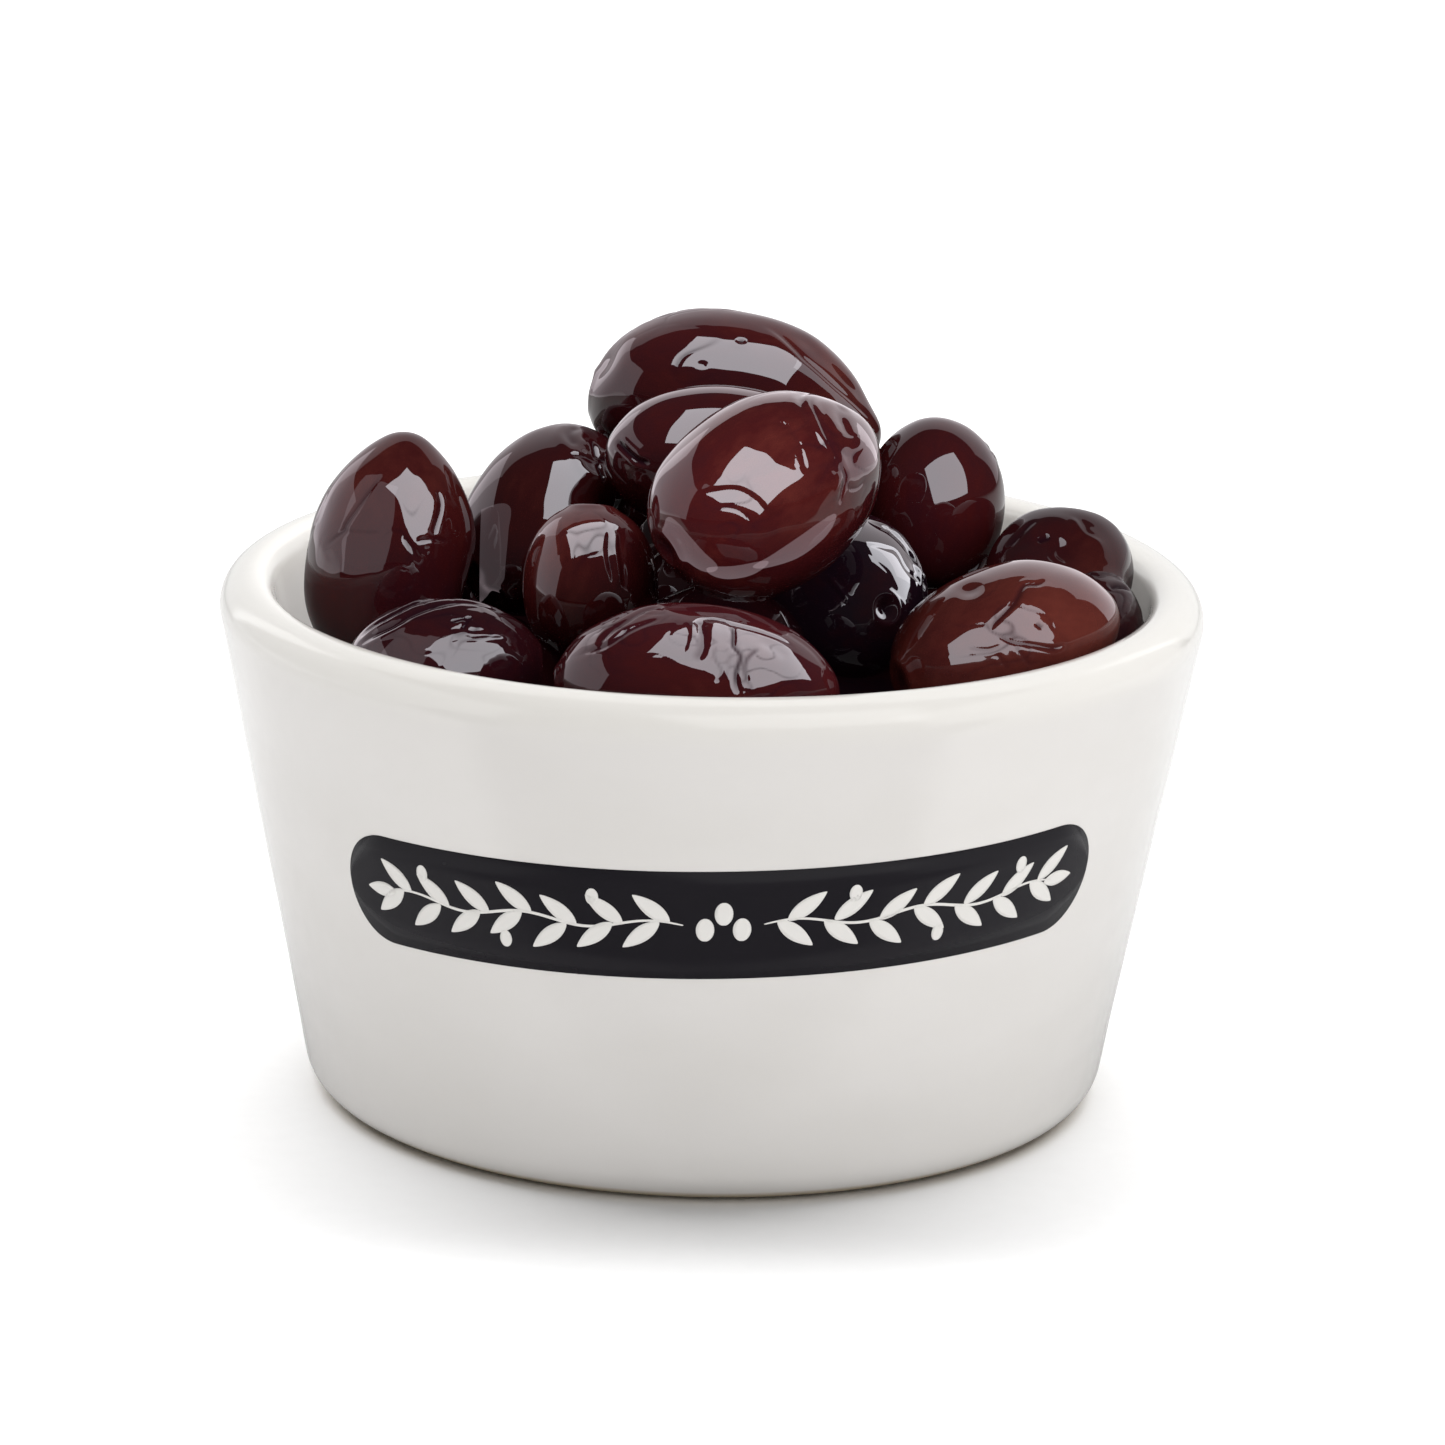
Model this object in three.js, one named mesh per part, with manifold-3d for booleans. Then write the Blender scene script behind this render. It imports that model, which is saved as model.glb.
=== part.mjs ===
// A small glazed dish heaped with whole black olives.
//
// Units are millimetres and +Z is up. The origin is the middle of the dish's foot, on the
// surface that it stands on. The front of the dish, where its print would be, faces -Y.
// There are two solids: the dish, and the heap of olives as one node, in which a smaller
// core joins the olives that show.

import * as THREE from 'three';
import { mergeVertices } from 'three/addons/utils/BufferGeometryUtils.js';
import Module from 'manifold-3d';

const wasm = await Module();
wasm.setup();

// ---------------------------------------------------------------- driving dimensions

const DISH = {
  height: 57.2,         // foot to the top of the rim
  footRadius: 43.0,     // where the straight outer wall would meet the ground
  lean: 10.9,           // degrees that the wall leans out
  footRound: 4.6,       // round between the foot and the wall
  rimOuterRound: 3.5,   // the rim is a thick round bead: its outer half
  rimInnerRound: 2.5,   // and its tighter inner half
  floor: 7.0,           // thickness of the floor
  floorRound: 9.0,      // round between the floor and the inner wall
  footRingRadius: 33.0, // inside of the ring that the dish stands on
  footRingHeight: 1.2,  // depth of the shallow recess inside that ring
  sides: 64,            // facets round the dish
};

const CORE = {
  gap: 0.3,             // kept between the heap and the dish
  edgeHeight: 40.0,     // height of the core where it meets the wall
  crownHeight: 51.0,    // height of the core in the middle
  domeSteps: 6,
  sides: 40,
};

// Under each olive that shows, a small egg-shaped prop joins it to what it lies on.
const PROP = { halfWidth: 3.5, halfHeight: 7.5, sides: 6 };

// Facets of an olive, round it and from tip to stem: one that shows, and a deeper one.
const SHOWN_FACETS = { around: 16, along: 10 };
const DEEP_FACETS = { around: 10, along: 7 };

// Each olive lies with its middle at `at`. Its tip points along `yaw`, in degrees from +X towards
// +Y, and rises by `pitch` where one is given. `point` sharpens the tip, `blunt` squares off the
// stem end (2 is a plain round), and `bend` drops both ends below the middle, in millimetres.
const OLIVES = [
  // the top of the heap
  { name: 'top_back', at: [2.5, 21, 72.5], yaw: -5, pitch: -7, length: 32.5, width: 18,
    point: 0.25, blunt: 2.6, bend: 2.6 },
  { name: 'top_front', at: [5.5, -14.5, 70], yaw: 30, pitch: 22, length: 26.5, width: 20.5,
    point: 0.1, blunt: 2.2 },
  { name: 'top_mid', at: [0, 4, 70.3], yaw: 200, pitch: 4, length: 25, width: 13, point: 0.05 },
  // the layer that leans on the rim, from the left round the front to the right
  { name: 'left_back', at: [-18.5, 9, 60.5], yaw: 60, pitch: 33, length: 25, width: 17 },
  { name: 'left_tall', at: [-35, -1.5, 59], yaw: 30, pitch: 80, length: 27, width: 17.5,
    point: 0.25, blunt: 2.2 },
  { name: 'mid_left', at: [-13, -12, 59.5], yaw: 255, pitch: 5, length: 24, width: 14.5, point: 0.1 },
  { name: 'low_left', at: [-28.5, -22, 52], yaw: 195, length: 21.5, width: 15, point: 0.1 },
  { name: 'low_front', at: [-1.5, -33.5, 53], yaw: 0, length: 30, width: 19, point: 0.1 },
  { name: 'mid_right', at: [14.5, -4, 56.3], yaw: 280, pitch: -10, length: 24.5, width: 17 },
  { name: 'right_front', at: [31, -19, 55], yaw: 30, pitch: 10, length: 27, width: 17, point: 0.1 },
  { name: 'right_far', at: [37.5, 3, 56.8], yaw: 65, length: 24, width: 15, point: 0.1 },
  { name: 'right_back', at: [24, 12.5, 63.5], yaw: 270, pitch: 38, length: 24, width: 15.5 },
  // the back of the same layer
  { name: 'back_mid', at: [0, 37.5, 55.5], yaw: 10, length: 23.5, width: 15, point: 0.15 },
  { name: 'back_left', at: [-21.5, 30.5, 54], yaw: 40, length: 23.5, width: 15.5, point: 0.15 },
  { name: 'back_right', at: [21, 31.5, 54], yaw: 150, length: 23, width: 15, point: 0.15 },
  { name: 'side_left', at: [-33.5, 15.5, 50.5], yaw: 105, length: 21.5, width: 14.5, point: 0.1 },
  // deeper olives that show in the gaps
  { name: 'deep_back', at: [4, 19.5, 55], yaw: 5, length: 25, width: 16.5, deep: true },
  { name: 'deep_mid', at: [-1, 0, 55.5], yaw: 80, length: 21, width: 15.5, deep: true },
  { name: 'deep_front_mid', at: [0.5, -16.5, 52.5], yaw: 0, length: 20, width: 15.5, deep: true },
  { name: 'deep_front_left', at: [-17, -28, 43], yaw: 110, length: 22, width: 14.5, point: 0.1, deep: true },
  { name: 'deep_front_right', at: [17, -29, 44], yaw: 20, length: 22, width: 15.5, point: 0.1, deep: true },
  { name: 'deep_left', at: [-23, -8, 46], yaw: 100, length: 23, width: 15, point: 0.1, deep: true },
  { name: 'deep_mid_right', at: [24.5, 0, 48], yaw: 85, length: 22, width: 14.5, point: 0.1, deep: true },
  { name: 'deep_right', at: [35, -3, 42.5], yaw: 75, length: 24, width: 15, point: 0.1, deep: true },
  { name: 'deep_back_left', at: [-19, 18, 47.5], yaw: 40, length: 24, width: 15, point: 0.1, deep: true },
  { name: 'side_right', at: [32.5, 18, 45.5], yaw: 120, length: 22, width: 14.5, point: 0.1, deep: true },
];

// ---------------------------------------------------------------- helpers

const radians = THREE.MathUtils.degToRad;

// Points of an arc in the radius-height plane, in degrees, both ends included.
function arc(centre, radius, from, to, steps) {
  return Array.from({ length: steps + 1 }, (_, i) => {
    const angle = radians(from + ((to - from) * i) / steps);
    return new THREE.Vector2(Math.cos(angle), Math.sin(angle)).multiplyScalar(radius).add(centre);
  });
}

// A profile of (radius, height) points, turned round the Z axis.
function turned(profile, sides) {
  return new THREE.LatheGeometry(profile, sides).rotateX(Math.PI / 2);
}

// A geometry as a manifold solid: only positions, shared vertices merged, no empty triangles.
function solid(geometry) {
  const bare = new THREE.BufferGeometry();
  bare.setAttribute('position', geometry.getAttribute('position').clone());
  bare.setIndex(geometry.getIndex().clone());
  const merged = mergeVertices(bare, 1e-4);
  const index = merged.getIndex().array;
  const triangles = [];
  for (let i = 0; i < index.length; i += 3) {
    const [a, b, c] = [index[i], index[i + 1], index[i + 2]];
    if (a !== b && b !== c && c !== a) triangles.push(a, b, c);
  }
  return new wasm.Manifold(new wasm.Mesh({
    numProp: 3,
    vertProperties: new Float32Array(merged.getAttribute('position').array),
    triVerts: new Uint32Array(triangles),
  }));
}

// A manifold solid back as a geometry.
function geometryOf(manifold) {
  const mesh = manifold.getMesh();
  const geometry = new THREE.BufferGeometry();
  geometry.setAttribute('position', new THREE.BufferAttribute(mesh.vertProperties, 3));
  geometry.setIndex(new THREE.BufferAttribute(mesh.triVerts, 1));
  geometry.computeVertexNormals();
  return geometry;
}

// ---------------------------------------------------------------- the dish

// The lines and rounds that the dish's outline is drawn from, shared with the heap inside it.
function dishOutline() {
  const { height, footRadius, lean, footRound, rimOuterRound, rimInnerRound, floor, floorRound } = DISH;
  const sin = Math.sin(radians(lean));
  const cos = Math.cos(radians(lean));
  // a round of this radius, its middle at this height, that touches the outer wall from inside
  const againstWall = (radius, middle) =>
    new THREE.Vector2(footRadius + ((middle - radius * sin) / cos) * sin - radius * cos, middle);
  const footMiddle = againstWall(footRound, footRound);
  const rimMiddle = againstWall(rimOuterRound, height - rimOuterRound);
  const rimInnerMiddle = new THREE.Vector2(rimMiddle.x, height - rimInnerRound);
  // the inner wall leans as the outer wall does, from the rim down to the floor's round
  const wallTop = new THREE.Vector2(-cos, sin).multiplyScalar(rimInnerRound).add(rimInnerMiddle);
  const innerRadius = (z) => wallTop.x - ((wallTop.y - z) * sin) / cos;
  const floorMiddle = new THREE.Vector2(0, floor + floorRound);
  floorMiddle.x = innerRadius(floorMiddle.y - floorRound * sin) - floorRound * cos;
  return { footMiddle, rimMiddle, rimInnerMiddle, innerRadius, floorMiddle };
}

function dishGeometry() {
  const { lean, footRound, rimOuterRound, rimInnerRound, floor, floorRound } = DISH;
  const { footRingRadius, footRingHeight, sides } = DISH;
  const { footMiddle, rimMiddle, rimInnerMiddle, floorMiddle } = dishOutline();
  const profile = [
    new THREE.Vector2(0, footRingHeight),
    new THREE.Vector2(footRingRadius, footRingHeight),
    new THREE.Vector2(footRingRadius + footRingHeight, 0),
    ...arc(footMiddle, footRound, -90, -lean, 5),
    ...arc(rimMiddle, rimOuterRound, -lean, 90, 7),
    ...arc(rimInnerMiddle, rimInnerRound, 90, 180 - lean, 5).slice(1),
    ...arc(floorMiddle, floorRound, -lean, -90, 4),
    new THREE.Vector2(0, floor),
  ];
  return turned(profile, sides);
}

// ---------------------------------------------------------------- the olives

// An olive is a surface of revolution about its own axis. With t from 1 at the tip to -1 at the
// stem, the radius is half the width times a circle's sqrt(1 - t^2), raised to a higher power
// towards a pointed tip and squared off towards a blunt stem. The bend lowers both ends by t^2.
function oliveGeometry(olive, { around, along }) {
  const { at, yaw, pitch = 0, length, width, point = 0, blunt = 2, bend = 0 } = olive;
  const axis = new THREE.Vector3(1, 0, 0)
    .applyAxisAngle(new THREE.Vector3(0, 1, 0), -radians(pitch))
    .applyAxisAngle(new THREE.Vector3(0, 0, 1), radians(yaw));
  const side = new THREE.Vector3(-Math.sin(radians(yaw)), Math.cos(radians(yaw)), 0);
  const up = new THREE.Vector3().crossVectors(axis, side);
  const radiusAt = (t, s) => (width / 2) * (t > 0
    ? s ** (1 + 2 * point * t)
    : (1 - Math.abs(t) ** blunt) ** (1 / blunt));
  const place = (t, radius, turn) => new THREE.Vector3(...at)
    .addScaledVector(axis, (length / 2) * t)
    .addScaledVector(side, radius * Math.cos(turn))
    .addScaledVector(up, radius * Math.sin(turn) - bend * t * t);

  const positions = [...place(1, 0, 0)];
  for (let ring = 1; ring < along; ring++) {
    const angle = (Math.PI * ring) / along;
    const t = Math.cos(angle);
    for (let k = 0; k < around; k++) {
      positions.push(...place(t, radiusAt(t, Math.sin(angle)), (2 * Math.PI * k) / around));
    }
  }
  positions.push(...place(-1, 0, 0));

  const last = positions.length / 3 - 1;
  const vertex = (ring, k) => 1 + (ring - 1) * around + (k % around);
  const faces = [];
  for (let k = 0; k < around; k++) {
    faces.push(0, vertex(1, k), vertex(1, k + 1));
    for (let ring = 1; ring < along - 1; ring++) {
      faces.push(vertex(ring, k), vertex(ring + 1, k), vertex(ring + 1, k + 1));
      faces.push(vertex(ring, k), vertex(ring + 1, k + 1), vertex(ring, k + 1));
    }
    faces.push(last, vertex(along - 1, k + 1), vertex(along - 1, k));
  }
  const geometry = new THREE.BufferGeometry();
  geometry.setAttribute('position', new THREE.Float32BufferAttribute(positions, 3));
  geometry.setIndex(faces);
  return geometry;
}

// The core fills the dish up to its edge height, a gap away from wall and floor, and rises in a
// dome to its crown.
function coreGeometry() {
  const { gap, edgeHeight, crownHeight, domeSteps, sides } = CORE;
  const { innerRadius, floorMiddle } = dishOutline();
  const edge = innerRadius(edgeHeight) - gap;
  const dome = Array.from({ length: domeSteps }, (_, i) => {
    const share = 1 - i / domeSteps;
    return new THREE.Vector2(edge * share, edgeHeight + (crownHeight - edgeHeight) * (1 - share ** 2));
  });
  return turned([
    new THREE.Vector2(0, DISH.floor + gap),
    ...arc(floorMiddle, DISH.floorRound - gap, -90, -DISH.lean, 4),
    ...dome,
    new THREE.Vector2(0, crownHeight),
  ], sides);
}

// The prop's middle is at the lowest point of its olive.
function propGeometry({ at: [x, y, z], pitch = 0, length, width }) {
  const { halfWidth, halfHeight, sides } = PROP;
  const tilt = radians(pitch);
  const drop = Math.hypot((length / 2) * Math.sin(tilt), (width / 2) * Math.cos(tilt));
  return new THREE.SphereGeometry(1, sides, sides)
    .rotateX(Math.PI / 2)
    .scale(halfWidth, halfWidth, halfHeight)
    .translate(x, y, z - drop);
}

function heapGeometry() {
  let heap = solid(coreGeometry());
  for (const olive of OLIVES) {
    heap = heap.add(solid(oliveGeometry(olive, olive.deep ? DEEP_FACETS : SHOWN_FACETS)));
    if (!olive.deep) heap = heap.add(solid(propGeometry(olive)));
  }
  return geometryOf(heap);
}

// ---------------------------------------------------------------- the scene graph

const GLAZE = new THREE.MeshStandardMaterial({ color: 0xefebe6, roughness: 0.15, metalness: 0 });
const OLIVE_SKIN = new THREE.MeshStandardMaterial({ color: 0x3a1412, roughness: 0.12, metalness: 0 });

const group = new THREE.Group();
for (const [name, geometry, material] of [
  ['dish', dishGeometry(), GLAZE],
  ['olives', heapGeometry(), OLIVE_SKIN],
]) {
  const mesh = new THREE.Mesh(geometry, material);
  mesh.name = name;
  group.add(mesh);
}

export default group;
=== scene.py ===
"""A small glazed dish heaped with whole black olives, wet with their brine.

The olives, the dish and its print are surfaces worked out with numpy. The tables and the shape
functions use millimetres and degrees; a mesh is scaled to metres as it is made. +Z is up and the
print faces -Y.
"""

import math

import bpy
import numpy as np
from bpy.props import FloatProperty, FloatVectorProperty, IntProperty, PointerProperty
from bpy.types import Operator, Panel, PropertyGroup
from mathutils import Matrix, Vector


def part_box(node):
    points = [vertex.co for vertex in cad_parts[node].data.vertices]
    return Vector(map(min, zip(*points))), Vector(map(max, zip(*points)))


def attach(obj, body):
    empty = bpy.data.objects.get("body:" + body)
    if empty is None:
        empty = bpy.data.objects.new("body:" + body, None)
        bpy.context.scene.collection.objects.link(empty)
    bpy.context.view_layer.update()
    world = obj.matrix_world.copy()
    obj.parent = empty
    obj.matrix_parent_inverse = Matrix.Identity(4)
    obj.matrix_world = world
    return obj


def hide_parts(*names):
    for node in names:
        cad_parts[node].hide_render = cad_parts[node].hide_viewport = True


bl_info = {
    "name": "Dish of Olives",
    "version": (1, 0, 0),
    "blender": (4, 5, 0),
    "location": "3D View > Sidebar > Olives",
    "description": "Builds a glazed dish heaped with wet black olives around its solid model",
    "category": "Object",
}

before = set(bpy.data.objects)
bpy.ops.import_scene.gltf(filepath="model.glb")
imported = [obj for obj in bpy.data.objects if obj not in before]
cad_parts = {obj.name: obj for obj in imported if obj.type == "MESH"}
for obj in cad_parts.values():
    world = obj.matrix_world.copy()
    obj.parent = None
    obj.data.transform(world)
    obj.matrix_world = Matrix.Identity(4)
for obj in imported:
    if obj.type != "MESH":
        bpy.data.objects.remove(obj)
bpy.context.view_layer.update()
DISH_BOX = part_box("dish")

MM = 0.001            # the tables are in millimetres and Blender's meshes are in metres
IMAGE_SIDE = 1445     # pixels a side of the square picture that the camera is set for
SENSOR = 36.0         # width of the camera's sensor, in millimetres


# ------------------------------------------------------------------ the dish's outline

RIM_RADIUS = DISH_BOX[1].x / MM     # outside of the rim
HEIGHT = DISH_BOX[1].z / MM         # foot to the top of the rim
LEAN = 10.9                         # degrees that the wall leans out
FOOT_ROUND = 4.6                    # round between the foot and the wall
RIM_OUTER_ROUND = 3.5               # the rim is a thick round bead: its outer half
RIM_INNER_ROUND = 2.5               # and its tighter inner half
FLOOR = 7.0                         # thickness of the floor
FLOOR_ROUND = 9.0                   # round between the floor and the inner wall
FOOT_RING = 33.0                    # inside of the ring that the dish stands on
FOOT_RECESS = 1.2                   # depth of the shallow recess inside that ring
BARE_FOOT = 0.9                     # height of the line round the foot that has no glaze
GLAZED_FOOT = 1.44                  # and height from which the glaze is full
# The rim's lighter colour is painted light on its top.
RIM_EDGE = 1.6                      # how far under its top the rim has its full colour
RIM_FADE = 4.0                      # and over what height the wall's colour turns to it
STEPS_ALONG = {"floor": 9, "floor_round": 10, "inner_wall": 30, "rim_inner": 12, "rim_outer": 18,
               "outer_wall": 36, "foot_round": 16, "recess": 8}   # of the outline

SLOPE = math.tan(math.radians(LEAN))
RIM_MIDDLE = np.array([RIM_RADIUS - RIM_OUTER_ROUND, HEIGHT - RIM_OUTER_ROUND])
RIM_INNER_MIDDLE = np.array([RIM_MIDDLE[0], HEIGHT - RIM_INNER_ROUND])


def outer_radius(z):
    """Radius of the outer wall at a height: the line that touches the rim's outer round, leaning out."""
    lean = math.radians(LEAN)
    touch = RIM_MIDDLE + RIM_OUTER_ROUND * np.array([math.cos(lean), -math.sin(lean)])
    return touch[0] - (touch[1] - z) * SLOPE


def inner_radius(z):
    """Radius of the inner wall at a height: the line that touches the rim's inner round, leaning out."""
    lean = math.radians(LEAN)
    touch = RIM_INNER_MIDDLE + RIM_INNER_ROUND * np.array([-math.cos(lean), math.sin(lean)])
    return touch[0] - (touch[1] - z) * SLOPE


# ------------------------------------------------------------------ the print and the core

PRINT_MIDDLE = 32.8       # height of the middle of the printed band
PRINT_ROOT = 0.12         # how deep the plates of the print reach into the wall
INK_THICKNESS = 0.05      # how far the ink stands off the glaze
MOTIF_THICKNESS = 0.1     # and the lighter figures on it
PRINT_MARGIN = 6.0        # bare band beyond the ends of the garland
TWIG_START = 4.0          # a twig starts this far from the middle
TWIG_WAVE = 0.5           # its waves' height
TWIG_WAVES = 2.5          # and how many it has
STEM_WIDTH = 0.32
LEAF_LENGTH = 4.9
LEAF_WIDTH = 1.75
LEAF_ANGLE = math.radians(38)
LEAF_PHASE = 0.35         # where in its stretch of the twig a pair of leaves starts
FRUIT_PHASE = 0.95        # and a small fruit stands
LEAF_STEPS = (-0.2, 0.9)  # how far from there a pair's lower and upper leaf start
LAST_LEAF = (4.2, 1.6)    # length and width of the leaf at a twig's end
LAST_LEAF_ROOT = 1.2      # and how far inside the twig's end it starts
FRUIT_LENGTH = 2.6
FRUIT_WIDTH = 1.9
SMALL_FRUIT = 0.72        # size of the fruits on the twigs, as a share of the middle ones
SMALL_FRUIT_LIFT = 2.9    # and how far above or below the band's middle they are
MIDDLE_FRUITS = ((-1.9, -0.5), (1.9, -0.5), (0, 1.3))   # places of the middle ones

CORE_GAP = 0.3            # between the core and the dish
CORE_EDGE = 40.0          # height of the core's edge
CORE_TOP = 51.0           # and of its middle
CORE_BUMPS = 1.2          # depth of the hollows on its top
CORE_BUMP_SIZE = 7.0
CORE_SIDES = 96
# The core's near-black tone is painted shade in the gaps between the olives.
CORE_TONE = -0.8


# ------------------------------------------------------------------ the olives' table

def crease(*line, width=0.34, depth=0.17, lip=0.04, fold=0.0, reach=2.5):
    """A groove along a line of (place along, angle round) points. A negative depth makes a ridge, `lip`
    raises both sides, and `fold` raises the skin on the line's left side, fading over `reach`."""
    return {"line": line, "width": width, "depth": depth, "lip": lip, "fold": fold, "reach": reach}


def dent(along, angle, radius, depth, rim=0.0, dark=0.0):
    """A round hollow of this radius, with a raised rim where one is given. `dark` paints shade into the
    hollow's middle.
    """
    return {"along": along, "angle": angle, "radius": radius, "depth": depth, "rim": rim, "dark": dark}


def crinkle(along, angle, radius, depth, size=2.2):
    """A patch of shrivelled skin: thin cracks about `size` apart that fade out over the radius. The cracks
    are also painted darker: painted shade in them.
    """
    return {"along": along, "angle": angle, "radius": radius, "crinkle": depth, "size": size}


def blush(along, angle, radius, warmth):
    """A patch where the skin is redder and lighter, or darker where the warmth is negative; the dark patch
    low on the tall olive is painted shade.
    """
    return {"along": along, "angle": angle, "radius": radius, "warmth": warmth}


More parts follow.
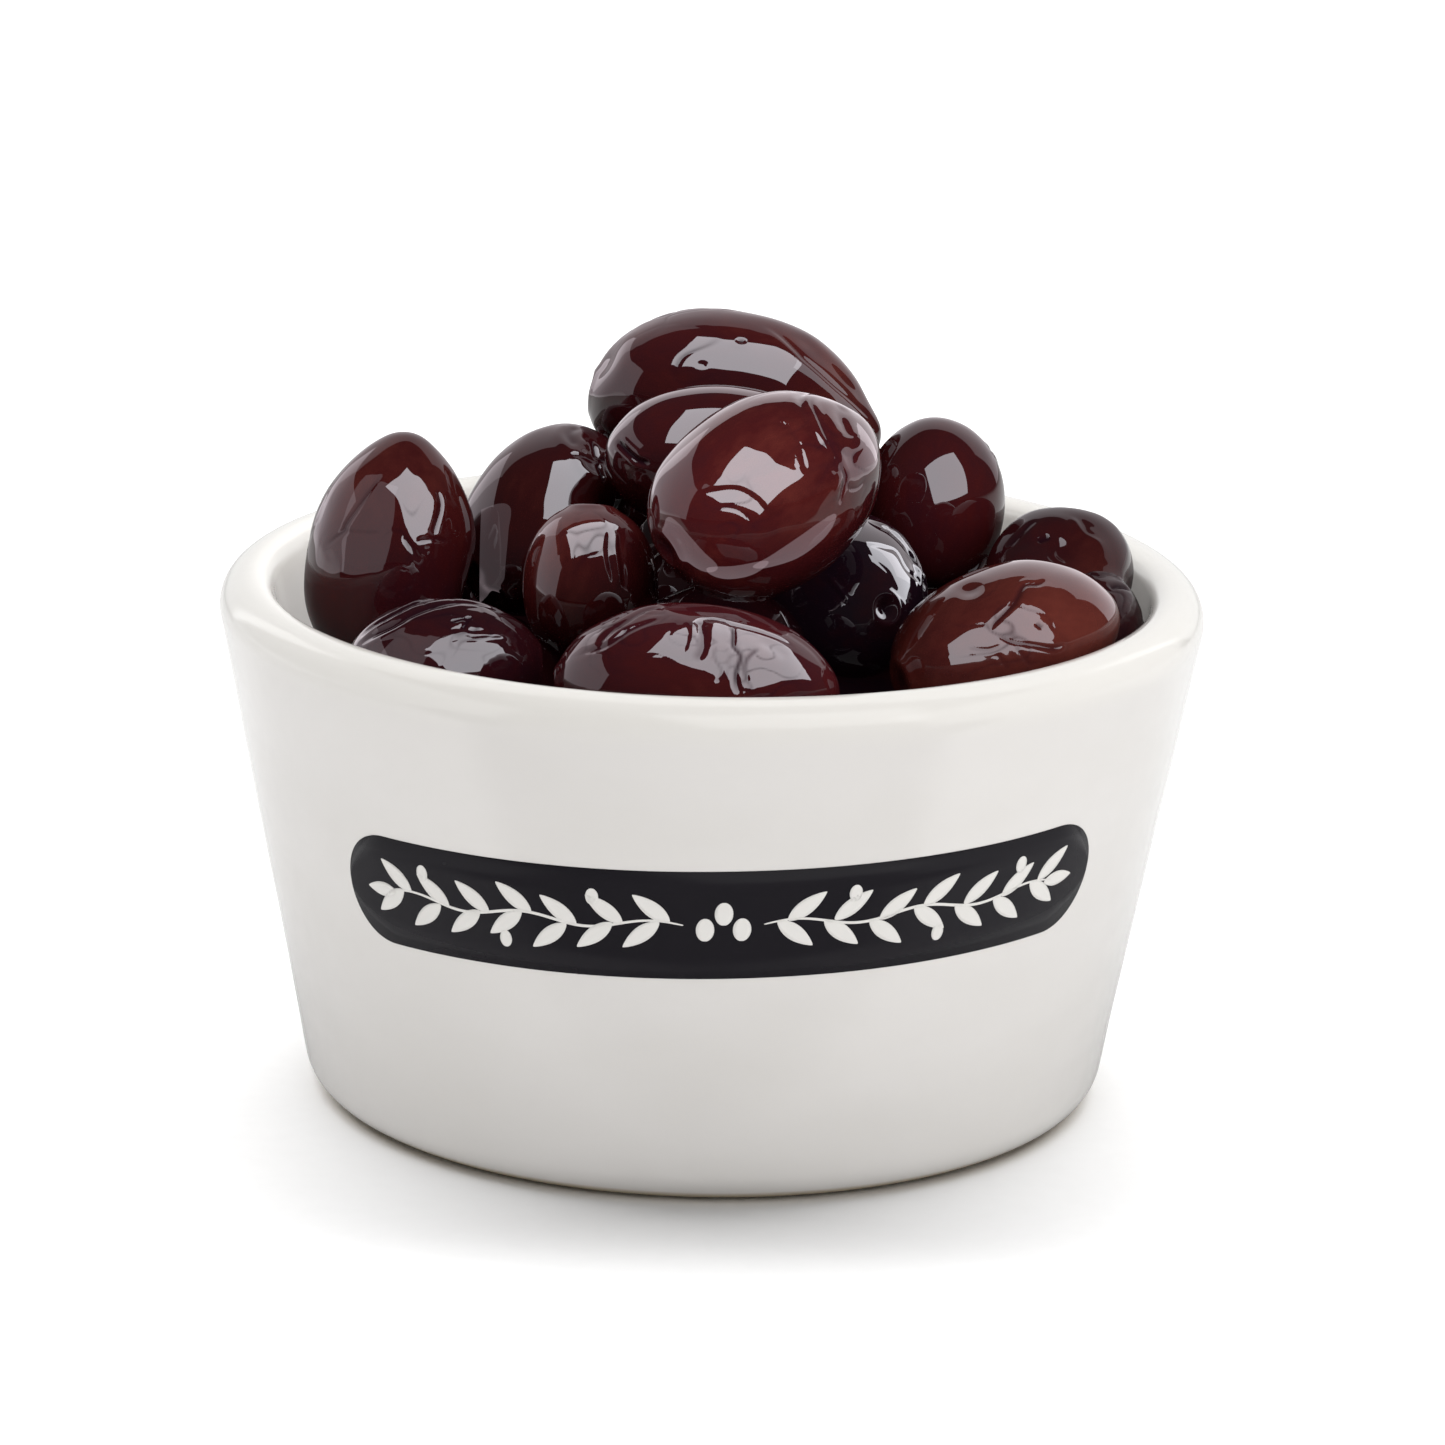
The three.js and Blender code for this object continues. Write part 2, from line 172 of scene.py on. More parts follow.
# Each olive lies with its middle at `at`. Its tip points along `yaw`, in degrees from +X towards +Y,
# and rises by `pitch`. `point` sharpens the tip, `blunt` squares off the stem end, and `bend` drops both
# ends below the middle. Places on the skin are given as the share along the axis, 1 at the tip and
# -1 at the stem, and the angle round it. `tone` goes from -1, nearly black, to 1, light red-brown, `lumps`
# scales the skin's soft unevenness, and `marks` lists what lies on it.
OLIVES = {
    "olives_crown": [
        dict(at=(5.5, -14.5, 70), yaw=30, pitch=22, length=26.5, width=20.5, point=0.1, blunt=2.2,
             tone=0.0, lumps=0.8, marks=[
                 crease((-0.7, 128), (-0.49, 142), (-0.4, 154), (-0.37, 163), (-0.35, 172),
                        width=0.3, depth=0.05, lip=0, fold=0.22, reach=1.7),
                 crease((-0.66, 146), (-0.55, 155), (-0.48, 168), width=0.24, depth=0.06, lip=0),
                 crease((0.06, 113), (0.16, 123), (0.16, 136), (0.12, 145), (0.06, 157), width=0.24,
                        depth=0.05),
                 crease((0.14, 116), (0.24, 126), (0.23, 138), width=0.3, depth=-0.07, lip=-0.03),
                 crease((0.68, 84), (0.5, 100), (0.38, 124), (0.31, 140), (0.34, 154), (0.33, 172),
                        width=0.5, depth=0.1, fold=0.16, reach=1.8),
                 crease((0.62, 100), (0.5, 114), (0.41, 138), (0.39, 153), (0.38, 169), (0.28, 180),
                        (0.19, 189), width=0.32, depth=0.12, lip=0.04, fold=-0.1),
                 crease((0.8, 112), (0.68, 128), (0.6, 150), width=0.8, depth=0.16),
                 dent(0.52, 163, 1.3, 0.22), crinkle(0.36, 142, 3.2, 0.1, 1.5),
                 crinkle(0.42, 168, 3.5, 0.1, 1.6), crinkle(-0.55, 155, 3.0, 0.03, 1.4),
                 blush(-0.2, 150, 8, 0.3)]),
    ],
    "olives_top": [
        dict(at=(2.5, 21, 72.5), yaw=-5, pitch=-7, length=32.5, width=18, point=0.25, blunt=2.6, bend=2.6,
             tone=-0.1, lumps=0.7, marks=[
                 dent(-0.02, 128, 0.75, -0.16, dark=0.2), dent(-0.02, 128, 0.36, 0.3, dark=1),
                 crease((0.1, 104), (0.35, 122), (0.44, 128), (0.65, 135), (0.85, 134), (0.95, 125),
                        width=0.5, depth=0.1, lip=0, fold=-0.26, reach=2.4),
                 crease((0.3, 100), (0.5, 112), (0.72, 118), (0.9, 104), width=1.3, depth=0.2, lip=0),
                 dent(-0.93, 128, 2.2, 0.45, rim=0.08), dent(-0.25, 150, 0.3, 0.12),
                 crinkle(-0.34, 143, 3.5, 0.09, 2.6),
                 blush(0.7, 118, 7.5, 0.5), blush(-0.1, 60, 8, 0.3)]),
    ],
    "olives_between": [
        dict(at=(0, 4, 69), yaw=200, pitch=4, length=25, width=16, point=0.05, tone=-0.1, lumps=0.7,
             marks=[crease((0.95, 70), (0.93, 40), (0.88, 19), (0.82, 9), (0.73, 7), width=0.32, depth=0.26,
                           lip=0.08), dent(0.82, -22, 0.5, -0.12)]),
    ],
    "olives_left": [
        dict(at=(-18.5, 9, 60.5), yaw=60, pitch=33, length=25, width=17, tone=-0.15, lumps=0.8, marks=[
            dent(0.42, 138, 1.5, 0.35, rim=0.12, dark=0.4), dent(0.42, 138, 0.5, -0.2),
            crease((0.42, 138), (0.62, 122), width=0.3, depth=0.14),
            crease((0.42, 138), (0.6, 150), width=0.3),
            crease((0.42, 138), (0.22, 150), width=0.26),
            crease((0.42, 138), (0.28, 116), width=0.3, depth=0.12),
            crease((0.75, 100), (0.55, 104), (0.4, 118), width=0.6, depth=0.17, lip=0.07),
            dent(-0.94, 45, 1.2, 0.35, rim=0.1), crease((-0.86, 62), (-0.94, 40), width=0.3, depth=0.17),
            blush(-0.1, 120, 8, 0.15)]),
    ],
    "olives_tall": [
        dict(at=(-35, -1.5, 59), yaw=30, pitch=80, length=27, width=17.5, point=0.1, blunt=2.2,
             tone=0.15, lumps=0.9, marks=[
                 crease((0.71, 133), (0.45, 122), (0.26, 115), (0.21, 114), (0.03, 99), width=0.26, depth=0.1,
                        lip=0, fold=0.08),
                 crease((0.21, 112), (0.24, 128), (0.27, 145), width=0.22, depth=0.06, lip=0),
                 crease((0.66, -174), (0.54, -170), (0.38, -176), (0.26, -180), width=0.36, depth=0.13,
                        lip=0.05),
                 crease((0.27, 158), (0.2, 165), (0.08, 174), width=0.28, depth=0.09),
                 crease((0.24, 168), (0.27, 182), (0.25, 196), width=0.24, depth=0.08, lip=0.04),
                 # The second, negative blush is painted shade on the lower part of the olive.
                 crinkle(0.3, 168, 3.0, 0.05, 1.6), blush(0.55, 160, 9, 0.25), blush(-0.25, 182, 9, -0.6)]),
    ],
    "olives_low": [
        dict(at=(-28.5, -22, 52), yaw=195, length=21.5, width=15, point=0.1, tone=-0.45, lumps=0.8, marks=[
            crease((0.1, 41), (-0.1, 44), (-0.24, 42), (-0.58, 46), width=0.26, depth=-0.14, lip=-0.06),
            crease((0.02, 54), (-0.27, 60), width=0.22, depth=0.14),
            crease((-0.1, 47), (-0.2, 58), width=0.22),
            crease((0.9, 80), (0.6, 66), (0.43, 68), (0.1, 76), (-0.2, 84), (-0.6, 80), width=0.45, depth=0.2,
                   lip=0.1),
            crease((0.85, 92), (0.5, 84), (0.2, 92), (-0.1, 98), width=0.38, depth=0.17, lip=0.07),
            crinkle(0.1, 75, 6.0, 0.08, 1.8), crinkle(-0.2, 48, 3.5, 0.08, 1.3)]),
    ],
    "olives_middle": [
        dict(at=(-1.5, -33.5, 53), yaw=0, length=30, width=19, point=0.1, tone=-0.2, lumps=0.7, marks=[
            crease((-0.66, 132), (-0.63, 117), (-0.48, 104), (-0.33, 91), (-0.2, 93), width=0.42, depth=0.15,
                   lip=0.07),
            crease((-0.8, 122), (-0.62, 126), (-0.46, 117), (-0.22, 107), width=0.32, depth=0.11, lip=0.05),
            crease((0.03, 106), (0.03, 117), (0.04, 125), (0.03, 136), (-0.03, 146), width=0.6, depth=0.22,
                   lip=0.04),
            crease((-0.03, 110), (-0.02, 125), (-0.06, 142), width=0.3, depth=-0.1, lip=-0.03),
            crease((0.22, 108), (0.25, 120), (0.25, 131), (0.3, 139), (0.27, 151), (0.29, 166), width=0.28,
                   depth=0.16, lip=0.03),
            crease((0.44, 129), (0.39, 134), (0.34, 141), (0.33, 149), (0.36, 160), width=0.26, depth=0.12,
                   lip=0),
            crease((0.14, 130), (0.12, 140), (0.17, 150), (0.13, 160), width=0.22, depth=0.07, lip=0),
            crease((0.43, 122), (0.45, 124), (0.54, 127), (0.63, 133), width=0.7, depth=0.08, lip=0),
            crease((-0.04, 108), (0.15, 108), (0.27, 112), (0.45, 114), (0.57, 115), (0.69, 118),
                   width=0.26, depth=0.08, lip=0.03),
            crease((0.6, 96), (0.74, 94), (0.84, 95), (0.92, 108), width=0.4, depth=-0.1, lip=-0.03),
            crinkle(0.45, 146, 4.5, 0.035, 1.2), crinkle(0.05, 120, 3.5, 0.04, 1.2),
            crinkle(-0.5, 110, 5, 0.07, 1.5), blush(-0.1, 160, 8, 0.3)]),
    ],
    "olives_dark": [
        dict(at=(14.5, -4, 56.3), yaw=280, pitch=-10, length=24.5, width=17, tone=-1.0, lumps=0.5, marks=[
            dent(0.89, 58, 1.0, 0.75, rim=0.15, dark=0.9),
            crease((0.58, 126), (0.65, 123), (0.78, 119), (0.9, 112), width=0.28, depth=-0.12, lip=-0.05),
            crease((-0.13, 77), (-0.02, 60), (0.21, 37), (0.45, 30), (0.58, 21), width=0.5, depth=-0.22,
                   lip=-0.1),
            crease((-0.1, 62), (0.12, 40), (0.35, 26), (0.5, 12), width=0.4, depth=0.26, lip=0.12),
            crease((0.2, 50), (0.3, 30), (0.33, 8), width=0.36, depth=0.2, lip=0.1),
            crinkle(0.2, 30, 5.0, 0.26, 1.9)]),
    ],
    "olives_right": [
        dict(at=(24, 12.5, 62.6), yaw=270, pitch=78, length=19.2, width=15.6, blunt=2.2, tone=-0.1, lumps=0.4,
             marks=[blush(0.3, 90, 7, 0.2)]),
    ],
    "olives_far": [
        dict(at=(37.5, 3, 56.8), yaw=65, length=24, width=15, point=0.1, tone=-0.25, lumps=0.9, marks=[
            dent(-0.52, 122, 2.8, 1.15, rim=0.2, dark=0.3),
            crease((-0.4, 97), (-0.5, 108), (-0.63, 119), (-0.62, 141), width=0.38, depth=-0.09, lip=-0.03),
            crease((-0.04, 102), (-0.2, 122), (-0.12, 142), width=0.45, depth=-0.11, lip=-0.03),
            dent(-0.12, 118, 2.2, 0.45), dent(-0.66, 80, 1.6, 0.25),
            crease((-0.6, 92), (-0.45, 100), depth=0.2),
            crease((-0.3, 80), (-0.5, 74), (-0.7, 60), width=0.45, depth=0.17), blush(-0.4, 160, 6, 0.6)]),
        dict(at=(40.2, -4, 53), yaw=75, length=17, width=12.4, tone=-0.2, lumps=0.4),
    ],
    "olives_brown": [
        dict(at=(31, -19, 55), yaw=30, pitch=10, length=27, width=17, point=0.1, tone=0.75, lumps=0.7, marks=[
            crease((0.28, 116), (0.18, 121), (0.06, 119), (-0.09, 129), (-0.2, 134), (-0.33, 139),
                   (-0.42, 147), width=0.28, depth=0.13, lip=0.05, fold=0.08),
            crease((-0.38, 143), (-0.26, 156), (-0.1, 163), (0.07, 170), (0.2, 170), width=0.28, depth=0.12,
                   lip=0.04, fold=-0.16),
            crease((-0.25, 158), (-0.15, 178), width=0.24, depth=0.09),
            crease((-0.4, 160), (-0.33, 176), width=0.24, depth=0.07),
            crease((-0.6, 148), (-0.45, 156), (-0.32, 156), width=0.22, depth=0.06),
            crease((-0.02, 149), (0.03, 154), width=0.24, depth=0.12), dent(-0.31, 100, 1.3, 0.4, dark=0.3),
            crinkle(-0.25, 150, 5.0, 0.06, 1.6), blush(0.35, 150, 9, 0.3), blush(-0.85, 120, 7, -0.35)]),
    ],
    "olives_upright": [
        dict(at=(-13, -12, 58.6), yaw=270, pitch=-70, length=17.5, width=14.8, blunt=2.1, tone=0.1, lumps=0.6,
             marks=[crease((-0.68, 63), (-0.39, 67), (-0.14, 66), (0.1, 65), width=0.34, depth=-0.16,
                           lip=-0.09),
                    crease((-0.62, 70), (-0.35, 75), (-0.05, 72), width=0.3, depth=0.08),
                    crinkle(-0.55, 92, 3.5, 0.05, 1.4), blush(-0.3, 170, 8, 0.2)]),
    ],
    "olives_back": [
        dict(at=(0, 37.5, 55.5), yaw=10, length=23.5, width=15, point=0.15, tone=0.1),
        dict(at=(-20.5, 30.5, 52), yaw=40, length=23.5, width=15.5, point=0.15, tone=-0.3),
        dict(at=(21, 31.5, 54), yaw=150, length=23, width=15, point=0.15, tone=0.4),
        dict(at=(-33.5, 15.5, 50.5), yaw=105, length=21.5, width=14.5, point=0.1, tone=-0.1),
        dict(at=(32.5, 18, 45.5), yaw=120, length=22, width=14.5, point=0.1, tone=-0.5),
    ],
    # Olives deep in the heap: their darker copy of the skin is painted shade.
    "olives_deep": [
        dict(at=(4, 19.5, 55), yaw=5, length=25, width=16.5, tone=-0.5),
        dict(at=(-1, 0, 53), yaw=80, length=21, width=15.5, tone=-0.5),
        dict(at=(0.5, -16.5, 52.5), yaw=0, length=20, width=15.5, tone=-0.6),
        dict(at=(-17, -28, 43), yaw=110, length=22, width=14.5, point=0.1, tone=0.5),
        dict(at=(17, -29, 44), yaw=20, length=22, width=15.5, point=0.1, tone=-0.9),
        dict(at=(-23, -8, 46), yaw=100, length=23, width=15, point=0.1, tone=-0.5),
        dict(at=(24.5, 0, 48), yaw=85, length=22, width=14.5, point=0.1, tone=-0.6),
        dict(at=(35, -3, 42.5), yaw=75, length=24, width=15, point=0.1, tone=-0.4),
        dict(at=(-19, 18, 47.5), yaw=40, length=24, width=15, point=0.1, tone=-0.5),
    ],
}
FRONT_GRID = (224, 128)     # faces round an olive and along it
GRID = {"olives_back": (150, 84), "olives_deep": (96, 56)}
TIP_ROUND = 14              # a pointed tip is rounded off over about its last tenth
CAMERA_TILT = 16.68         # how steeply, in degrees, the camera looks down
GATHERING = 1.3             # how much closer the faces lie on the side that is looked at
GATHERING_WIDTH = 1.1       # and over how many radians
FINE_STEPS = 721            # for the running total that spaces them
LUMP_SIZE = (12, 9, 9)      # sizes of the soft lumps, along an olive and across it
SMALL_LUMP_SIZE = (6.5, 4.2, 4.2)
SMALL_LUMP_SHARE = 0.3      # height of the small lumps, as a share of the big ones'
WRINKLE_SIZE = (5.0, 1.7, 1.7)
PATTERN_SPREAD = 40.0       # how far apart the olives read the pattern of their skin
STEM_SCAR = {"radius": 1.3, "depth": 0.45, "rim": 0.2, "dark": 0.7}
TAPER = 5                   # a crease tapers off over one part in this many at each end
LIP_PLACE = 2.0             # its lips lie this many widths from its line
DENT_RIM = 1.7              # a dent's rim lies this many radii from its middle
CRACK_STRETCH = (1.5, 1, 1) # how much longer the cracks of a crinkled patch are along the olive
CRACK_NOISE = 1.6           # size of the noise whose cracks lie 1 mm apart
SEEDED_CREASES = (5, 9)     # on olives with listed marks, and on the others
SEEDED_START = (-0.75, 0.6) # where along the olive a seeded crease starts
SEEDED_RUN = (0.25, 0.6)    # how far it runs along the olive
SEEDED_SWING = (-22, 22)    # and round it, in degrees


# ------------------------------------------------------------------ the studio's table

# The middle of the dish lies this many pixels right of and below the middle of the square picture.
DISH_SHIFT_X = -14.82
DISH_SHIFT_Y = 104.35
FLOOR_HALF = 4.0          # metres
WORLD_LIGHT = 0.05        # brightness of the surroundings, which the camera sees as white
DISH = ("dish_body", "print_band", "print_garland")
LEFT_SIDE = ("olives_crown", "olives_top", "olives_between", "olives_left", "olives_tall", "olives_low",
             "olives_middle", "olives_upright", "olives_back")
BACK_SIDE = ("olives_top", "olives_tall", "olives_left", "olives_middle", "olives_upright", "olives_back")
DISH_AIM = (0, 0, 60)
CROWN_AIM = OLIVES["olives_crown"][0]["at"]

# Each light: its name, what it falls on, what it is aimed at in millimetres, its azimuth and elevation, its
# distance, width and height in metres, its roll, the setting that gives its brightness, and its share.
RIG = [
    ("window_crown", ("olives_crown",), DISH_AIM, 6, 38, 0.62, 0.9, 0.58, -40, "window", 1.3),
    ("window_top", ("olives_top", "olives_between", "olives_back"), DISH_AIM, 22, 64, 0.62, 0.6, 0.66, -34,
     "window", 1.05),
    ("window_taper", ("olives_top",), DISH_AIM, 84, 28, 0.62, 0.4, 0.7, 10, "window", 0.36),
    ("window_left", ("olives_left",), DISH_AIM, 55, 62, 0.62, 0.6, 0.42, 40, "window", 1.05),
    ("window_tall", ("olives_tall",), DISH_AIM, 40, 44, 0.62, 0.46, 0.66, 15, "window", 1.05),
    ("window_low", ("olives_low",), DISH_AIM, 44, 34, 0.62, 0.6, 0.6, 15, "window", 0.9),
    ("window_upright", ("olives_upright",), DISH_AIM, 10, 84, 0.62, 0.85, 0.62, 0, "window", 1.0),
    ("window_middle", ("olives_middle",), DISH_AIM, 64, 60, 0.62, 1.1, 1.0, 0, "window", 0.9),
    ("window_dark", ("olives_dark",), DISH_AIM, 118, 33, 0.62, 0.28, 0.85, -18, "window", 1.0),
    ("window_right", ("olives_right",), DISH_AIM, 25, 30, 0.62, 0.8, 0.72, 12, "window", 0.87),
    ("window_far", ("olives_far",), DISH_AIM, 20, 44, 0.62, 0.9, 0.6, 0, "window", 0.6),
    ("window_brown", ("olives_brown",), DISH_AIM, 28, 24, 0.62, 0.85, 0.85, 10, "window", 0.72),
    ("left_wall", LEFT_SIDE, DISH_AIM, -104, 8, 0.6, 1.15, 0.75, 0, "left_wall", 1.0),
    ("left_near", ("olives_tall", "olives_low"), DISH_AIM, -36, 25, 0.6, 0.75, 1.0, 0, "left_wall", 0.75),
    ("right_wall", ("olives_crown",), DISH_AIM, 108, -4, 0.6, 0.87, 0.55, 0, "right_wall", 1.4),
    ("card_left", ("olives_left",), (-23.15, -1.8, 60), -90, 0, 0.0021, 0.0098, 0.019, 0, "bounce", 0.24),
    ("backdrop_back", BACK_SIDE, DISH_AIM, 180, 28, 0.95, 2.0, 1.3, 0, "backdrop", 1.0),
    ("backdrop_near", ("olives_crown", "olives_between", "olives_low"), DISH_AIM, 180, 18, 0.95, 2.0,
     0.95, 0, "backdrop", 2.3),
    ("backdrop_right", ("olives_right",), DISH_AIM, 180, 27, 0.95, 3.0, 1.3, 0, "backdrop", 1.3),
    ("backdrop_far", ("olives_far",), DISH_AIM, 165, 14, 0.95, 2.4, 0.8, 0, "backdrop", 0.55),
    ("backdrop_brown", ("olives_brown", "olives_dark"), DISH_AIM, 180, 26, 0.95, 3.0, 1.3, 0,
     "backdrop", 2.2),
    ("bounce_left", ("olives_crown",), CROWN_AIM, -48, -23.5, 0.0155, 0.0125, 0.0052, -51, "bounce", 0.5),
    ("bounce_low", ("olives_crown",), CROWN_AIM, -12, -41.5, 0.0151, 0.0115, 0.0036, 0, "bounce", 0.55),
    ("bounce_right", ("olives_crown",), CROWN_AIM, 34, -28, 0.0138, 0.0165, 0.0038, 33, "bounce", 0.6),
    ("deep_light", ("olives_deep", "heap_core"), DISH_AIM, 30, 50, 0.62, 0.5, 0.5, 0, "deep_light", 1.0),
    ("dark_fill", ("olives_dark", "olives_deep", "heap_core"), DISH_AIM, -5, 40, 0.62, 0.6, 0.6, 0,
     "dark_fill", 1.0),
    ("dish_key", DISH, DISH_AIM, 24, 42, 0.62, 0.56, 0.56, 0, "dish_key", 1.0),
    ("dish_front", DISH, DISH_AIM, 10, -6, 0.8, 1.2, 0.6, 0, "dish_front", 1.0),
    ("dish_left", DISH, DISH_AIM, -95, 10, 0.6, 1.3, 0.8, 0, "dish_left", 1.0),
    ("dish_right", DISH, DISH_AIM, 92, 12, 0.62, 1.2, 0.8, 0, "dish_right", 1.0),
    ("dish_back", DISH, DISH_AIM, 180, 30, 0.95, 1.8, 1.9, 0, "dish_back", 1.0),
    ("dish_top", DISH, DISH_AIM, 70, 80, 0.7, 0.7, 0.7, 0, "dish_top", 1.0),
    ("inside_left", DISH, (-46, 4, 50), 90, 20, 0.03, 0.03, 0.02, 0, "dish_fill", 1.0),
    ("inside_back", DISH, (32, 34, 50), -43, 18, 0.03, 0.03, 0.02, 0, "dish_fill", 0.4),
    ("floor_overhead", ("floor",), DISH_AIM, 180, 72, 0.85, 2.4, 0.6, 0, "floor_overhead", 1.0),
    ("floor_front", ("floor",), DISH_AIM, 10, 38, 0.85, 1.2, 0.7, 0, "floor_front", 1.0),
]
# Lights that no surface mirrors, lights that only the floor can block, and lights that are mirrored and light
# nothing else.
DULL = ("floor_overhead", "floor_front", "dish_front", "dish_top", "dish_fill", "dark_fill")
UNSHADED = ("dish_fill", "dark_fill")
MIRRORED_ONLY = ("bounce",)
# The colour of the light that each setting's panels give, where it isn't white.
TINTS = {"window": (1, 1, 1.07), "left_wall": (1.03, 0.93, 1), "right_wall": (1.03, 0.93, 1),
         "bounce": (1.1, 0.88, 0.96), "backdrop": (1.03, 0.95, 1)}


# ------------------------------------------------------------------ shape helpers

LATTICE = 256         # noise repeats after this many bumps
NOISE_GAIN = 1.5      # brings its range to about -1 to 1
LINE_STEPS = 5        # straight steps from one point of a smooth line to the next
WALL_SEEDS = (11, 12)
CORE_SEED = 31


def noise(points, size, seed):
    """Gradient noise with bumps of this size. Each corner of a lattice has a random direction, and a
    point's value blends the eight corners' dot products with a smooth fade. It runs from about -1 to 1."""
    random = np.random.default_rng(seed)
    order = random.permutation(LATTICE)
    slopes = random.normal(size=(LATTICE, 3))
    slopes /= np.linalg.norm(slopes, axis=1, keepdims=True)
    scaled = points / np.asarray(size, float) + random.uniform(0, LATTICE, 3)
    cell = np.floor(scaled).astype(int)
    part = scaled - cell
    fade = part**3 * (part * (part * 6 - 15) + 10)
    total = np.zeros(len(points))
    for step in np.ndindex(2, 2, 2):
        corner = np.array(step)
        x, y, z = ((cell + corner) % LATTICE).T
        slope = slopes[order[(order[(order[x] + y) % LATTICE] + z) % LATTICE]]
        weight = np.where(corner, fade, 1 - fade).prod(axis=1)
        total += weight * np.einsum("ij,ij->i", slope, part - corner)
    return total * NOISE_GAIN


def cracks(points, size, seed):
    """Thin lines that are 1 in their middle and 0 beside them: they lie where noise crosses 0."""
    return (1 - np.clip(np.abs(noise(points, size, seed)) * 4.5, 0, 1)) ** 2


def smooth_step(value):
    """0 below 0 and 1 above 1, with a smooth s-curve between."""
    value = np.clip(value, 0, 1)
    return value * value * (3 - 2 * value)


def smooth_line(points):
    """A Catmull-Rom curve through the points: each stretch is a cubic, which at each end slopes as that
    end's two neighbours lie."""
    padded = np.vstack([2 * points[0] - points[1], points, 2 * points[-1] - points[-2]])
    share = np.arange(LINE_STEPS)[:, None] / LINE_STEPS
    stretches = [
        0.5 * (2 * b + (c - a) * share + (2 * a - 5 * b + 4 * c - d) * share**2
               + (3 * b - a - 3 * c + d) * share**3)
        for a, b, c, d in zip(padded, padded[1:], padded[2:], padded[3:])
    ]
    return np.vstack([*stretches, points[-1:]])


def arc(middle, radius, start, end, steps):
    """Points of a round: its middle plus the radius times the cosine and sine of evenly spaced degrees."""
    angle = np.radians(np.linspace(start, end, steps + 1))
    return np.column_stack([middle[0] + radius * np.cos(angle), middle[1] + radius * np.sin(angle)])


def straight(start, end, steps):
    """Evenly spaced points between two ends, without the ends."""
    share = np.linspace(0, 1, steps + 1)[1:-1, None]
    return np.asarray(start) * (1 - share) + np.asarray(end) * share


def closed_faces(rings, around):
    """Faces of a surface with a pole, a number of rings of points, and a pole: triangles at the poles
    and quads between the rings, as arrays of vertex numbers."""
    k = np.arange(around)
    following = (k + 1) % around
    ring = 1 + around * np.arange(rings - 1)[:, None]
    quads = np.stack([ring + k, ring + around + k, ring + around + following, ring + following], axis=-1)
    last = 1 + around * (rings - 1)
    first_fan = np.column_stack([np.zeros(around, int), 1 + k, 1 + following])
    last_fan = np.column_stack([np.full(around, last + around), last + following, last + k])
    return quads.reshape(-1, 4), np.vstack([first_fan, last_fan])


class Builder:
    """Collects surfaces, in millimetres, and makes them one mesh object that rides on the dish's body."""

    def __init__(self):
        self.points = []
        self.quads = []
        self.triangles = []
        self.fields = []
        self.count = 0

    def add(self, points, rings, around, **fields):
        """One closed surface and its values at every point."""
        quads, triangles = closed_faces(rings, around)
        self.points.append(points)
        self.quads.append(quads + self.count)
        self.triangles.append(triangles + self.count)
        self.fields.append(fields)
        self.count += len(points)

    def finish(self, name, material, node=None):
        """The mesh object of all surfaces, in the place of a node of the solid where one is given."""
        quads = np.vstack(self.quads)
        triangles = np.vstack(self.triangles)
        sides = np.concatenate([np.full(len(quads), 4), np.full(len(triangles), 3)])
        corners = np.concatenate([quads.ravel(), triangles.ravel()])
        mesh = bpy.data.meshes.new(name)
        mesh.vertices.add(self.count)
        mesh.vertices.foreach_set("co", (np.vstack(self.points) * MM).ravel())
        mesh.loops.add(len(corners))
        mesh.loops.foreach_set("vertex_index", corners)
        mesh.polygons.add(len(sides))
        mesh.polygons.foreach_set("loop_start", np.cumsum(sides) - sides)
        mesh.polygons.foreach_set("use_smooth", np.ones(len(sides), bool))
        mesh.update(calc_edges=True)
        for field in self.fields[0]:
            values = np.concatenate([fields[field] for fields in self.fields])
            if values.ndim == 2:
                mesh.attributes.new(field, "FLOAT_VECTOR", "POINT").data.foreach_set("vector", values.ravel())
            else:
                mesh.attributes.new(field, "FLOAT", "POINT").data.foreach_set("value", values)
        if mesh.validate():
            raise RuntimeError(f"{name} has faces that Blender had to mend")
        piece = bpy.data.objects.new(name, mesh)
        bpy.context.scene.collection.objects.link(piece)
        mesh.materials.append(material)
        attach(piece, "root")
        if node:
            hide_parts(node)


# ------------------------------------------------------------------ the dish

def wall_unevenness(radius, angle, z, depth):
    """How far the hand-made glaze lies inside the true outline: half the depth, plus soft noise of two
    sizes, so that it runs from about 0 to the depth."""
    place = np.column_stack([radius * np.cos(angle), radius * np.sin(angle), z])
    broad, narrow = WALL_SEEDS
    soft = 0.6 * noise(place, (26, 26, 18), broad) + 0.3 * noise(place, (14, 14, 5), narrow)
    return depth * np.clip(0.5 + soft, 0, 1)


def lathe(profile, around):
    """The radius, angle and height of every point of the rings that a (radius, height) profile makes, turned
    round the Z axis. Its first and last points are poles and make none."""
    angle = 2 * np.pi * np.arange(around) / around
    radius = np.repeat(profile[1:-1, 0], around)
    z = np.repeat(profile[1:-1, 1], around)
    turn = np.tile(angle, len(profile) - 2)
    return radius, turn, z


